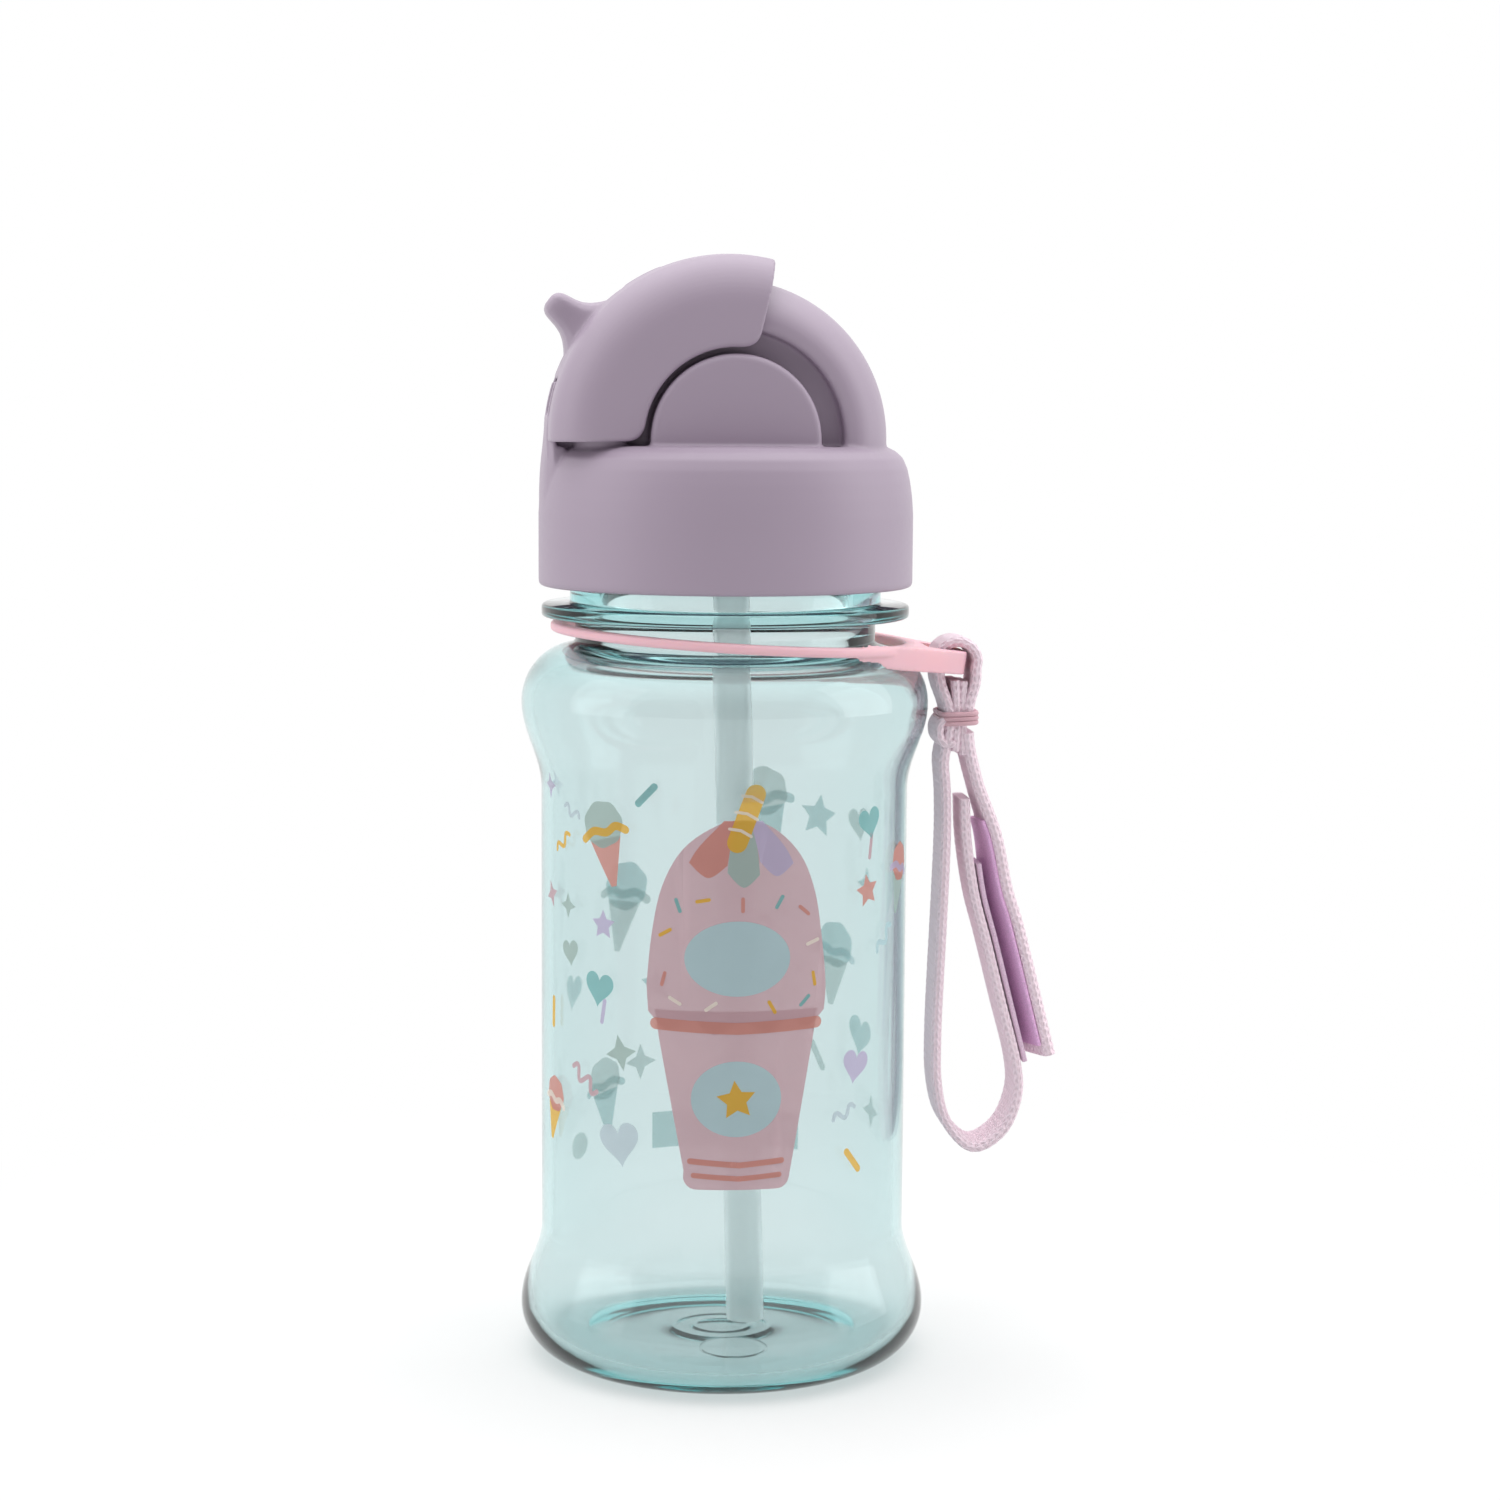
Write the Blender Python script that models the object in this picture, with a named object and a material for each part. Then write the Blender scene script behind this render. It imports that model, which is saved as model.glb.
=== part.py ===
"""Kids water bottle with a turning drinking cover, a folding spout, a screw lid and a wrist strap.

Metres, +Z up. The bottle axis is Z, the bottle stands on z = 0 and the lid's hinge lies along Y.
Lengths below are millimetres and are scaled by MM where meshes are made.
"""
import bpy
import bmesh
import math

MM = 0.001
GAP = 0.3

# Bottle
WAIST_R = 31.85
BASE_R = 35.5
BASE_CORNER = 8.5
WAIST_LOW = 23.0
WAIST_HIGH = 100.0
SHOULDER_R = 35.3
SHOULDER_Z = 115.0
SHOULDER_RISE = 10.0
NECK_R = 26.0
WALL = 1.9
FLANGE_R = 31.8
FLANGE_LOW = 129.7
FLANGE_HIGH = 132.0
FINISH_R = 26.9
FINISH_BORE = 24.9
FINISH_TOP = 147.5
BOTTLE_STEPS = 48

# Screw thread, two starts
LEAD = 10.0
THREAD_TURN = 217.0
THREAD_Z = 136.0
THREAD_SHIFT = 2.5
THREAD_PHASE = 2.3
BOTTLE_CREST_R = 28.1
INSERT_CREST_R = 27.3

# Lid
COLLAR_R = 32.3
COLLAR_BORE = 30.6
COLLAR_LOW = 135.0
DECK_TOP = 159.2
DECK_LOW = 156.4
INSERT_R = 30.3
INSERT_BORE = 28.5
INSERT_LOW = 136.2
PLATE_LOW = 149.8
PLATE_TOP = 152.0
NOZZLE_R = 5.6
NOZZLE_BORE = 3.75
NOZZLE_LOW = 141.0

# Drum under the cover, about the cover's hinge line
PIVOT_Z = 160.3
DRUM_R = 27.0
DRUM_HALF = 18.0
DRUM_ROUND_R = 7.4
DRUM_ROUND_Y = 14.0
CHANNEL_IN = 14.25
CHANNEL_OUT = 18.3
CHANNEL_HALF = 14.5
BOSS_HALF = 20.4

# Turning cover
COVER_R = 31.3
COVER_CROWN = 0.5
COVER_HALF = 20.4
COVER_WALL = 2.0
COVER_ROUND = 8.5
COVER_EDGE_R = 15.3
RAIL_OUT = 17.8
RAIL_HALF = 15.0
COVER_START = 77.0
COVER_END = 181.0
COVER_CORNER = 3.0
LIP_HALF = 8.0
LIP_TOP = 162.0
TAB_ANGLE = 141.5
TAB_R = 38.6
TAB_WIDE = 11.0
TAB_THICK = 5.4

# Spout
SPOUT_PIVOT = (2.0, 170.0)
SPOUT_LONG = 24.0
SPOUT_REST = 198.0
SPOUT_OPEN = 133.0
SPOUT_R = 3.0
SPOUT_TIP_R = 2.6
SPOUT_KNUCKLE = 3.4
SPOUT_BORE = 1.5
SLOT_HALF = 5.4
STEM_R = 4.2
STEM_BORE = 1.8

# Straw
STRAW_R = 3.3
STRAW_BORE = 2.4
STRAW_TOP = 148.0
STRAW_LOW = 4.5
STRAW_LEAN = 1.5

# Strap ring and lug
RING_IN = 29.4
RING_OUT = 31.9
RING_THICK = 1.7
RING_X = 1.6
RING_Z = 126.3
RING_TILT = 3.2
LUG_TILT = 12.0
LUG_START = (26.5, 17.6)
LUG_Z = 124.9
LUG_THICK = 3.2
SLOT_X = (34.8, 38.85)
SLOT_WIDE = 11.4
BAR_X = 40.2
BAR_Z = 122.0

# Strap
WEB_WIDE = 10.0
WEB_THICK = 1.8
TAPE_WIDE = 8.6
TAPE_THICK = 0.9
LOOP_R = 3.5


for old in list(bpy.data.objects):
    bpy.data.objects.remove(old, do_unlink=True)


# ---------------------------------------------------------------- helpers

def material(name, colour, roughness, metallic=0.0, clear=0.0):
    """A plain Principled material; clear is its transmission weight."""
    made = bpy.data.materials.new(name)
    made.use_nodes = True
    shader = made.node_tree.nodes["Principled BSDF"]
    shader.inputs["Base Color"].default_value = (*colour, 1.0)
    shader.inputs["Roughness"].default_value = roughness
    shader.inputs["Metallic"].default_value = metallic
    shader.inputs["Transmission Weight"].default_value = clear
    made.diffuse_color = (*colour, 1.0)
    return made


def arc(centre, radius, start, end, count):
    """count + 1 points on an arc, angles in degrees."""
    points = []
    for step in range(count + 1):
        turn = math.radians(start + (end - start) * step / count)
        points.append((centre[0] + radius * math.cos(turn), centre[1] + radius * math.sin(turn)))
    return points


def ease(low, high, start, end, count):
    """A smooth S from radius low at height start to radius high at height end, ends included."""
    points = []
    for step in range(count + 1):
        share = step / count
        blend = (1 - math.cos(math.pi * share)) / 2
        points.append((low + (high - low) * blend, start + (end - start) * share))
    return points


def build(name, points, faces, look, origin=(0.0, 0.0, 0.0), smooth=True, helper=False):
    """A mesh object from millimetre points, with its origin at origin and its faces pointing out."""
    mesh = bpy.data.meshes.new(name)
    shifted = [tuple((p[k] - origin[k]) * MM for k in range(3)) for p in points]
    mesh.from_pydata(shifted, [], faces)
    mesh.validate()
    shell = bmesh.new()
    shell.from_mesh(mesh)
    bmesh.ops.recalc_face_normals(shell, faces=shell.faces)
    shell.to_mesh(mesh)
    shell.free()
    made = bpy.data.objects.new(name, mesh)
    made.location = tuple(v * MM for v in origin)
    bpy.context.scene.collection.objects.link(made)
    if look is not None:
        mesh.materials.append(look)
    if smooth:
        mesh.shade_smooth()
        mesh.set_sharp_from_angle(angle=math.radians(35))
    if helper:
        made.hide_render = True
        made.display_type = "WIRE"
    return made


def lathe(name, profile, look, steps=48, along="Z", centre=(0.0, 0.0), **kind):
    """Turns (radius, height) points about Z through centre, or about Y through (x, z) centre."""
    points = []
    rings = []
    for radius, height in profile:
        count = 1 if radius == 0 else steps
        ring = []
        for step in range(count):
            turn = 2 * math.pi * step / steps
            across = radius * math.cos(turn)
            aside = radius * math.sin(turn)
            ring.append(len(points))
            if along == "Z":
                points.append((centre[0] + across, centre[1] + aside, height))
            else:
                points.append((centre[0] + across, height, centre[1] + aside))
        rings.append(ring)
    pairs = list(zip(rings, rings[1:]))
    if len(rings[0]) > 1 or len(rings[-1]) > 1:
        pairs.append((rings[-1], rings[0]))
    faces = []
    for first, second in pairs:
        for step in range(steps):
            after = (step + 1) % steps
            if len(first) == 1:
                faces.append((first[0], second[after], second[step]))
            elif len(second) == 1:
                faces.append((first[step], first[after], second[0]))
            else:
                faces.append((first[step], first[after], second[after], second[step]))
    return build(name, points, faces, look, **kind)


def loft(name, sections, look, **kind):
    """A closed solid through rings of 3-D points with the same count, capped at both ends."""
    points = [point for section in sections for point in section]
    count = len(sections[0])
    faces = [tuple(range(count)), tuple(len(points) - 1 - k for k in range(count))]
    for row in range(len(sections) - 1):
        base = row * count
        for k in range(count):
            after = (k + 1) % count
            faces.append((base + k, base + after, base + count + after, base + count + k))
    return build(name, points, faces, look, **kind)


def prism(name, outline, low, high, look, along="Y", **kind):
    """Pulls a 2-D outline along Y (outline in x, z) or along Z (outline in x, y)."""
    sections = []
    for level in (low, high):
        if along == "Y":
            sections.append([(x, level, z) for x, z in outline])
        else:
            sections.append([(x, y, level) for x, y in outline])
    return loft(name, sections, look, **kind)


def box(name, low, high, look, **kind):
    outline = [(low[0], low[2]), (high[0], low[2]), (high[0], high[2]), (low[0], high[2])]
    return prism(name, outline, low[1], high[1], look, **kind)


def sector(name, section_at, start, end, count, look, **kind):
    """Sweeps a (radius, y) section about the cover's hinge line between two polar angles."""
    sections = []
    for step in range(count + 1):
        angle = start + (end - start) * step / count
        turn = math.radians(angle)
        ring = []
        for radius, y in section_at(angle):
            ring.append((radius * math.cos(turn), y, PIVOT_Z + radius * math.sin(turn)))
        sections.append(ring)
    return loft(name, sections, look, **kind)


def combine(target, other, operation):
    """Adds a live Boolean with a hidden helper object."""
    other.hide_render = True
    other.display_type = "WIRE"
    step = target.modifiers.new(operation.title(), "BOOLEAN")
    step.operation = operation
    step.solver = "EXACT"
    step.object = other
    return target


def smooth_path(points, per_span):
    """A Catmull-Rom curve through 2-D points."""
    padded = [points[0], *points, points[-1]]
    curve = []
    for k in range(len(points) - 1):
        a, b, c, d = padded[k:k + 4]
        for step in range(per_span):
            t = step / per_span
            curve.append(tuple(
                0.5 * (2 * b[i] + (c[i] - a[i]) * t
                       + (2 * a[i] - 5 * b[i] + 4 * c[i] - d[i]) * t * t
                       + (3 * b[i] - a[i] - 3 * c[i] + d[i]) * t ** 3)
                for i in range(2)))
    curve.append(tuple(points[-1]))
    return curve


def normals_of(path):
    """Unit normals on the left of a 2-D path."""
    found = []
    for k in range(len(path)):
        before = path[max(k - 1, 0)]
        after = path[min(k + 1, len(path) - 1)]
        dx = after[0] - before[0]
        dz = after[1] - before[1]
        size = math.hypot(dx, dz)
        found.append((-dz / size, dx / size))
    return found


def ribbon(name, path, wide, thick, look, offset=0.0, chamfer=0.35, **kind):
    """Flat webbing whose centreline is a path in the XZ plane, moved sideways by offset."""
    half_w = wide / 2
    half_t = thick / 2
    sections = []
    for (x, z), (nx, nz) in zip(path, normals_of(path)):
        ring = []
        for y, t in (
            (-half_w, -half_t + chamfer), (-half_w + chamfer, -half_t),
            (half_w - chamfer, -half_t), (half_w, -half_t + chamfer),
            (half_w, half_t - chamfer), (half_w - chamfer, half_t),
            (-half_w + chamfer, half_t), (-half_w, half_t - chamfer),
        ):
            ring.append((x + nx * (offset + t), y, z + nz * (offset + t)))
        sections.append(ring)
    return loft(name, sections, look, **kind)


def thread(name, root_r, crest_r, root_w, crest_w, first, start_at, look):
    """One helical ridge; it overlaps the wall it stands on and tapers at both ends."""
    inward = 1 if crest_r > root_r else -1
    count = 18
    sections = []
    for step in range(count + 1):
        share = step / count
        fade = min(1.0, 6 * share + 0.2, 6 * (1 - share) + 0.2)
        angle = math.radians(start_at + THREAD_TURN * share)
        level = first + LEAD * THREAD_TURN * share / 360
        tip = root_r + (crest_r - root_r) * fade
        inner = root_r - inward * 0.7
        ring = []
        for radius, rise in (
            (inner, -root_w / 2), (tip, -crest_w / 2), (tip, crest_w / 2), (inner, root_w / 2),
        ):
            ring.append((radius * math.cos(angle), radius * math.sin(angle), level + rise))
        sections.append(ring)
    return loft(name, sections, look, helper=True)


# ---------------------------------------------------------------- materials

tritan = material("clear_teal", (0.55, 0.78, 0.78), 0.08, clear=0.85)
mauve = material("mauve_plastic", (0.42, 0.34, 0.42), 0.35)
mauve_dark = material("mauve_insert", (0.38, 0.31, 0.39), 0.45)
silicone = material("clear_silicone", (0.78, 0.76, 0.78), 0.45)
seal = material("seal_silicone", (0.80, 0.79, 0.80), 0.5)
straw_pe = material("straw_plastic", (0.72, 0.78, 0.78), 0.3, clear=0.4)
pink_rubber = material("pink_rubber", (0.80, 0.52, 0.55), 0.5)
webbing_pink = material("pink_webbing", (0.72, 0.50, 0.56), 0.9)
hook_lilac = material("hook_lilac", (0.45, 0.22, 0.42), 0.8)
loop_pink = material("loop_pink", (0.70, 0.48, 0.58), 0.95)
thread_pink = material("thread_pink", (0.66, 0.40, 0.46), 0.85)


# ---------------------------------------------------------------- bottle body

outer = [(0.0, 1.6), (14.0, 1.5), (21.5, 0.9), (24.2, 0.0)]
outer += arc((BASE_R - BASE_CORNER, BASE_CORNER), BASE_CORNER, -90, 0, 7)
outer += ease(BASE_R, WAIST_R, BASE_CORNER, WAIST_LOW, 7)[1:]
outer += ease(WAIST_R, SHOULDER_R, WAIST_HIGH, SHOULDER_Z, 7)
for step in range(1, 8):
    lean = math.pi / 2 * step / 8
    outer.append((
        NECK_R + (SHOULDER_R - NECK_R) * math.cos(lean),
        SHOULDER_Z + SHOULDER_RISE * math.sin(lean),
    ))
outer += [(NECK_R, SHOULDER_Z + SHOULDER_RISE + 0.2), (NECK_R, FLANGE_LOW)]
outer += [(FLANGE_R - 0.5, FLANGE_LOW), (FLANGE_R, FLANGE_LOW + 0.5)]
outer += [(FLANGE_R, FLANGE_HIGH - 0.5), (FLANGE_R - 0.5, FLANGE_HIGH)]
outer += [(FINISH_R + 0.4, FLANGE_HIGH), (FINISH_R, FLANGE_HIGH + 0.4)]
outer += [(FINISH_R, FINISH_TOP - 0.5), (FINISH_R - 0.5, FINISH_TOP)]

inner_neck = NECK_R - WALL
inner = [(0.0, 3.9), (14.0, 3.6), (25.0, 3.0)]
inner += arc((BASE_R - BASE_CORNER, BASE_CORNER), BASE_CORNER - WALL, -60, 0, 4)
inner += ease(BASE_R - WALL, WAIST_R - WALL, BASE_CORNER, WAIST_LOW, 6)[1:]
inner += ease(WAIST_R - WALL, SHOULDER_R - WALL, WAIST_HIGH, SHOULDER_Z, 6)
for step in range(1, 7):
    lean = math.pi / 2 * step / 7
    inner.append((
        inner_neck + (SHOULDER_R - WALL - inner_neck) * math.cos(lean),
        SHOULDER_Z + (SHOULDER_RISE - WALL) * math.sin(lean),
    ))
inner += [(inner_neck, SHOULDER_Z + SHOULDER_RISE - WALL + 0.2), (inner_neck, 126.5)]
inner += [(FINISH_BORE, 127.6), (FINISH_BORE, FINISH_TOP - 0.4), (FINISH_BORE + 0.4, FINISH_TOP)]
body = lathe("bottle_body", outer + inner[::-1], tritan, steps=BOTTLE_STEPS)
for start in range(2):
    ridge = thread(
        f"bottle_thread_{start}", FINISH_R, BOTTLE_CREST_R, 2.2, 1.2,
        THREAD_Z, 180.0 * start + THREAD_PHASE, tritan)
    combine(body, ridge, "UNION")


# ---------------------------------------------------------------- lid housing

collar = [(0.0, DECK_TOP), (25.6, DECK_TOP)]
collar += [(27.7, 159.0), (29.0, 158.4), (30.4, 157.2), (31.2, 155.4), (31.7, 153.2)]
collar += [(32.1, 150.4), (COLLAR_R, 147.5), (COLLAR_R, COLLAR_LOW + 1.0)]
collar += arc((COLLAR_R - 0.8, COLLAR_LOW + 0.8), 0.8, 0, -90, 2)
collar += [(COLLAR_BORE, COLLAR_LOW), (COLLAR_BORE, 153.6), (28.4, DECK_LOW), (0.0, DECK_LOW)]
housing = lathe("lid_housing", collar, mauve, steps=48)


def drum_profile():
    """Half-section of the drum and its two round bosses, from the front face to the back face."""
    front = [(0.0, -BOSS_HALF), (CHANNEL_IN - 0.7, -BOSS_HALF), (CHANNEL_IN, -BOSS_HALF + 0.7)]
    front += [(CHANNEL_IN, -CHANNEL_HALF), (CHANNEL_OUT, -CHANNEL_HALF)]
    front += [(CHANNEL_OUT, -DRUM_HALF + 0.6), (CHANNEL_OUT + 0.6, -DRUM_HALF)]
    for turn in range(10, 91, 10):
        across = DRUM_ROUND_R * math.sin(math.radians(turn))
        back = DRUM_ROUND_Y * math.cos(math.radians(turn))
        front.append((DRUM_R - DRUM_ROUND_R + across, -DRUM_HALF + DRUM_ROUND_Y - back))
    return front + [(radius, -y) for radius, y in front[::-1]]


drum = lathe(
    "drum_shape", drum_profile(), mauve, steps=48, along="Y",
    centre=(0.0, PIVOT_Z), helper=True)
below = box("drum_floor", (-40, -30, 120), (40, 30, DECK_TOP - 0.6), mauve, helper=True)
combine(drum, below, "DIFFERENCE")
combine(housing, drum, "UNION")

lip = sector(
    "lip_shape",
    lambda angle: [(29.3, -LIP_HALF), (31.2, -LIP_HALF), (31.2, LIP_HALF), (29.3, LIP_HALF)],
    LIP_TOP, 186.0, 6, mauve, helper=True)
combine(housing, lip, "UNION")

px, pz = SPOUT_PIVOT
open_turn = math.radians(SPOUT_OPEN)
side = SPOUT_R + 1.0
corner_x = px + side * math.cos(open_turn - math.pi / 2)
corner_z = pz + side * math.sin(open_turn - math.pi / 2)
far_x = corner_x + 40 * math.cos(open_turn)
far_z = corner_z + 40 * math.sin(open_turn)
well = [(-29.2, 158.0), (px + 4.9, 158.0), (px + 4.9, pz), (corner_x + 0.4, corner_z + 0.4)]
well += [(far_x, far_z), (-40.0, far_z), (-40.0, 162.5), (-29.2, 162.5)]
well_cut = prism("well_cut", well, -SLOT_HALF, SLOT_HALF, mauve, helper=True)
combine(housing, well_cut, "DIFFERENCE")
stem_hole = lathe(
    "stem_hole", [(0, 150), (STEM_R + 0.4, 150), (STEM_R + 0.4, 162), (0, 162)],
    mauve, steps=24, centre=(px, 0.0), helper=True)
combine(housing, stem_hole, "DIFFERENCE")
air_hole = lathe(
    "air_hole", [(0, 150), (1.2, 150), (1.2, 162), (0, 162)],
    mauve, steps=12, centre=(-14.0, 0.0), helper=True)
combine(housing, air_hole, "DIFFERENCE")
for side_sign in (-1, 1):
    hollow = []
    for y in (7.4 * side_sign, 12.4 * side_sign):
        ring = [(x, y, z) for x, z in arc((0.0, PIVOT_Z), DRUM_R - 2.4, 0, 180, 14)]
        ring += [(-20.0, y, 154.0), (20.0, y, 154.0)]
        hollow.append(ring)
    pocket = loft(f"drum_hollow_{side_sign + 1}", hollow, mauve, helper=True)
    combine(housing, pocket, "DIFFERENCE")


# ---------------------------------------------------------------- screw insert, seal, retainer

hull = [(0.0, PLATE_TOP), (INSERT_R - 0.8, PLATE_TOP), (INSERT_R, PLATE_TOP - 0.8)]
hull += [(INSERT_R, INSERT_LOW), (INSERT_BORE, INSERT_LOW), (INSERT_BORE, PLATE_LOW), (0.0, PLATE_LOW)]
insert = lathe("lid_thread_insert", hull, mauve_dark, steps=BOTTLE_STEPS)
nozzle = lathe(
    "nozzle_shape", [(0, NOZZLE_LOW), (NOZZLE_R, NOZZLE_LOW), (NOZZLE_R, 151.0), (0, 151.0)],
    mauve_dark, steps=24, centre=(SPOUT_PIVOT[0], 0.0), helper=True)
combine(insert, nozzle, "UNION")
nozzle_bore = lathe(
    "nozzle_bore", [(0, 130), (NOZZLE_BORE, 130), (NOZZLE_BORE, 160), (0, 160)],
    mauve_dark, steps=24, centre=(SPOUT_PIVOT[0], 0.0), helper=True)
combine(insert, nozzle_bore, "DIFFERENCE")
for start in range(2):
    ridge = thread(
        f"insert_thread_{start}", INSERT_BORE, INSERT_CREST_R, 2.0, 1.0,
        THREAD_Z + THREAD_SHIFT, 180.0 * start + THREAD_PHASE, mauve_dark)
    combine(insert, ridge, "UNION")
VALVE_X = 14.5
valve_hole = lathe(
    "valve_hole", [(0, 148), (2.7, 148), (2.7, 154), (0, 154)],
    mauve_dark, steps=20, centre=(VALVE_X, 0.0), helper=True)
combine(insert, valve_hole, "DIFFERENCE")

gasket = [(25.3, 147.8), (28.1, 147.8), (28.1, 148.9), (27.6, 149.5), (25.8, 149.5), (25.3, 148.9)]
lathe("lid_gasket", gasket, seal, steps=BOTTLE_STEPS)

valve = [(0.0, 147.2), (0.9, 147.2), (1.6, 148.3), (3.9, 148.6), (3.9, 149.5)]
valve += [(2.4, 149.5), (2.4, 152.3), (3.4, 152.3), (3.4, 153.0), (1.2, 153.0), (0.0, 151.6)]
lathe("vent_valve", valve, seal, steps=20, centre=(VALVE_X, 0.0))

retainer = [(4.9, 154.2), (9.4, 154.2), (9.4, 155.5), (8.9, 156.0), (4.9, 156.0)]
lathe("spout_retainer", retainer, mauve_dark, steps=36, centre=(px, 0.0))


# ---------------------------------------------------------------- spout and straw

stem = [(STEM_BORE, 149.0), (3.35, 149.0), (3.35, 152.3), (8.6, 152.3), (8.6, 153.9)]
stem += [(STEM_R, 153.9), (STEM_R, 164.0), (STEM_R - 0.8, 165.2), (STEM_BORE, 165.2)]
lathe("spout_base", stem, silicone, steps=32, centre=(px, 0.0))

rest_turn = math.radians(SPOUT_REST)
along = (math.cos(rest_turn), math.sin(rest_turn))
across = (-along[1], along[0])
rows = []
for reach, radius in ((0.0, SPOUT_R), (SPOUT_LONG - 4.0, SPOUT_R), (SPOUT_LONG - 1.4, SPOUT_TIP_R + 0.2),
                      (SPOUT_LONG - 0.3, SPOUT_TIP_R - 0.2), (SPOUT_LONG, SPOUT_TIP_R - 0.8)):
    ring = []
    for step in range(20):
        turn = 2 * math.pi * step / 20
        up = radius * math.cos(turn)
        ring.append((
            px + along[0] * reach + across[0] * up,
            radius * 1.25 * math.sin(turn),
            pz + along[1] * reach + across[1] * up,
        ))
    rows.append(ring)
tip = loft("spout_tip", rows, silicone, origin=(px, 0.0, pz))
knuckle = lathe(
    "spout_knuckle",
    [(0, -4.6), (2.6, -4.6), (SPOUT_KNUCKLE, -3.8), (SPOUT_KNUCKLE, 3.8), (2.6, 4.6), (0, 4.6)],
    silicone, steps=24, along="Y", centre=(px, pz), helper=True)
combine(tip, knuckle, "UNION")
bore_rows = []
for reach in (2.0, SPOUT_LONG + 1.0):
    ring = []
    for step in range(12):
        turn = 2 * math.pi * step / 12
        up = SPOUT_BORE * math.cos(turn)
        ring.append((
            px + along[0] * reach + across[0] * up,
            SPOUT_BORE * 1.4 * math.sin(turn),
            pz + along[1] * reach + across[1] * up,
        ))
    bore_rows.append(ring)
combine(tip, loft("spout_bore", bore_rows, silicone, helper=True), "DIFFERENCE")

tube = [(STRAW_BORE, STRAW_LOW), (STRAW_R, STRAW_LOW), (STRAW_R, STRAW_TOP), (STRAW_BORE, STRAW_TOP)]
straw = lathe("straw", tube, straw_pe, steps=24)
for vertex in straw.data.vertices:
    drop = STRAW_TOP - vertex.co.z / MM
    vertex.co.x += (px + STRAW_LEAN * drop / (STRAW_TOP - STRAW_LOW)) * MM


# ---------------------------------------------------------------- cover

def cover_section(angle):
    """Cross-section of the cover: crown, rounded shoulders, side walls and guide rails."""
    from_end = min(angle - COVER_START, COVER_END - angle)
    run = math.radians(max(from_end, 0.0)) * COVER_EDGE_R
    lift = 0.0
    if run < COVER_CORNER:
        lift = COVER_CORNER - math.sqrt(COVER_CORNER ** 2 - (COVER_CORNER - run) ** 2)
    edge = COVER_EDGE_R + lift * 0.8
    rail = max(RAIL_OUT, edge + 0.4)
    shoulder_r = COVER_R - COVER_CROWN - COVER_ROUND
    shoulder_y = COVER_HALF - COVER_ROUND
    inner_round = COVER_ROUND - COVER_WALL
    outline = [(edge, RAIL_HALF), (edge, COVER_HALF - 0.6), (edge + 0.6, COVER_HALF)]
    for radius, y in arc((shoulder_r, shoulder_y), COVER_ROUND, 90, 0, 7):
        outline.append((radius, y))
    outline.append((COVER_R - 0.12, shoulder_y / 2))
    outline += [(radius, -y) for radius, y in outline[::-1]]
    inside = [(rail, RAIL_HALF), (rail, COVER_HALF - COVER_WALL)]
    for radius, y in arc((shoulder_r, shoulder_y), inner_round, 90, 0, 5):
        inside.append((radius, y))
    return outline + [(radius, -y) for radius, y in inside] + inside[::-1]


cover_origin = (0.0, 0.0, PIVOT_Z)
cover = sector(
    "slide_cover", cover_section, COVER_START, COVER_END, 30, mauve, origin=cover_origin)
notch = sector(
    "lip_notch",
    lambda angle: [(27.5, -LIP_HALF - 0.5), (33.5, -LIP_HALF - 0.5),
                   (33.5, LIP_HALF + 0.5), (27.5, LIP_HALF + 0.5)],
    LIP_TOP - 1.2, 186.0, 6, mauve, helper=True)
combine(cover, notch, "DIFFERENCE")
tab_turn = math.radians(TAB_ANGLE)
out = (math.cos(tab_turn), math.sin(tab_turn))
aside = (-out[1], out[0])
tab_rows = []
for reach, thick, wide in (
    (COVER_R - 1.3, 10.6, TAB_WIDE + 2.4), (COVER_R + 0.3, 7.6, TAB_WIDE + 1.0),
    (COVER_R + 1.8, TAB_THICK, TAB_WIDE), (TAB_R - 1.6, TAB_THICK - 0.2, TAB_WIDE - 0.3),
    (TAB_R - 0.5, TAB_THICK - 1.2, TAB_WIDE - 1.2), (TAB_R, TAB_THICK - 2.8, TAB_WIDE - 3.0),
):
    ring = []
    for sign_t, sign_w, shave_t, shave_w in (
        (-1, -1, 0, 0.9), (-1, -1, 0.9, 0), (1, -1, 0.9, 0), (1, -1, 0, 0.9),
        (1, 1, 0, 0.9), (1, 1, 0.9, 0), (-1, 1, 0.9, 0), (-1, 1, 0, 0.9),
    ):
        t = sign_t * (thick / 2 - shave_t)
        w = sign_w * (wide / 2 - shave_w)
        ring.append((out[0] * reach + aside[0] * t, w, PIVOT_Z + out[1] * reach + aside[1] * t))
    tab_rows.append(ring)
combine(cover, loft("tab_shape", tab_rows, mauve, helper=True), "UNION")


# ---------------------------------------------------------------- strap ring

def tilted(points, angle, centre):
    """Turns 3-D points about a Y axis through (x, z) centre so that +X drops."""
    turn = math.radians(angle)
    found = []
    for x, y, z in points:
        dx = x - centre[0]
        dz = z - centre[1]
        found.append((
            centre[0] + dx * math.cos(turn) + dz * math.sin(turn), y,
            centre[1] - dx * math.sin(turn) + dz * math.cos(turn)))
    return found


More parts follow.
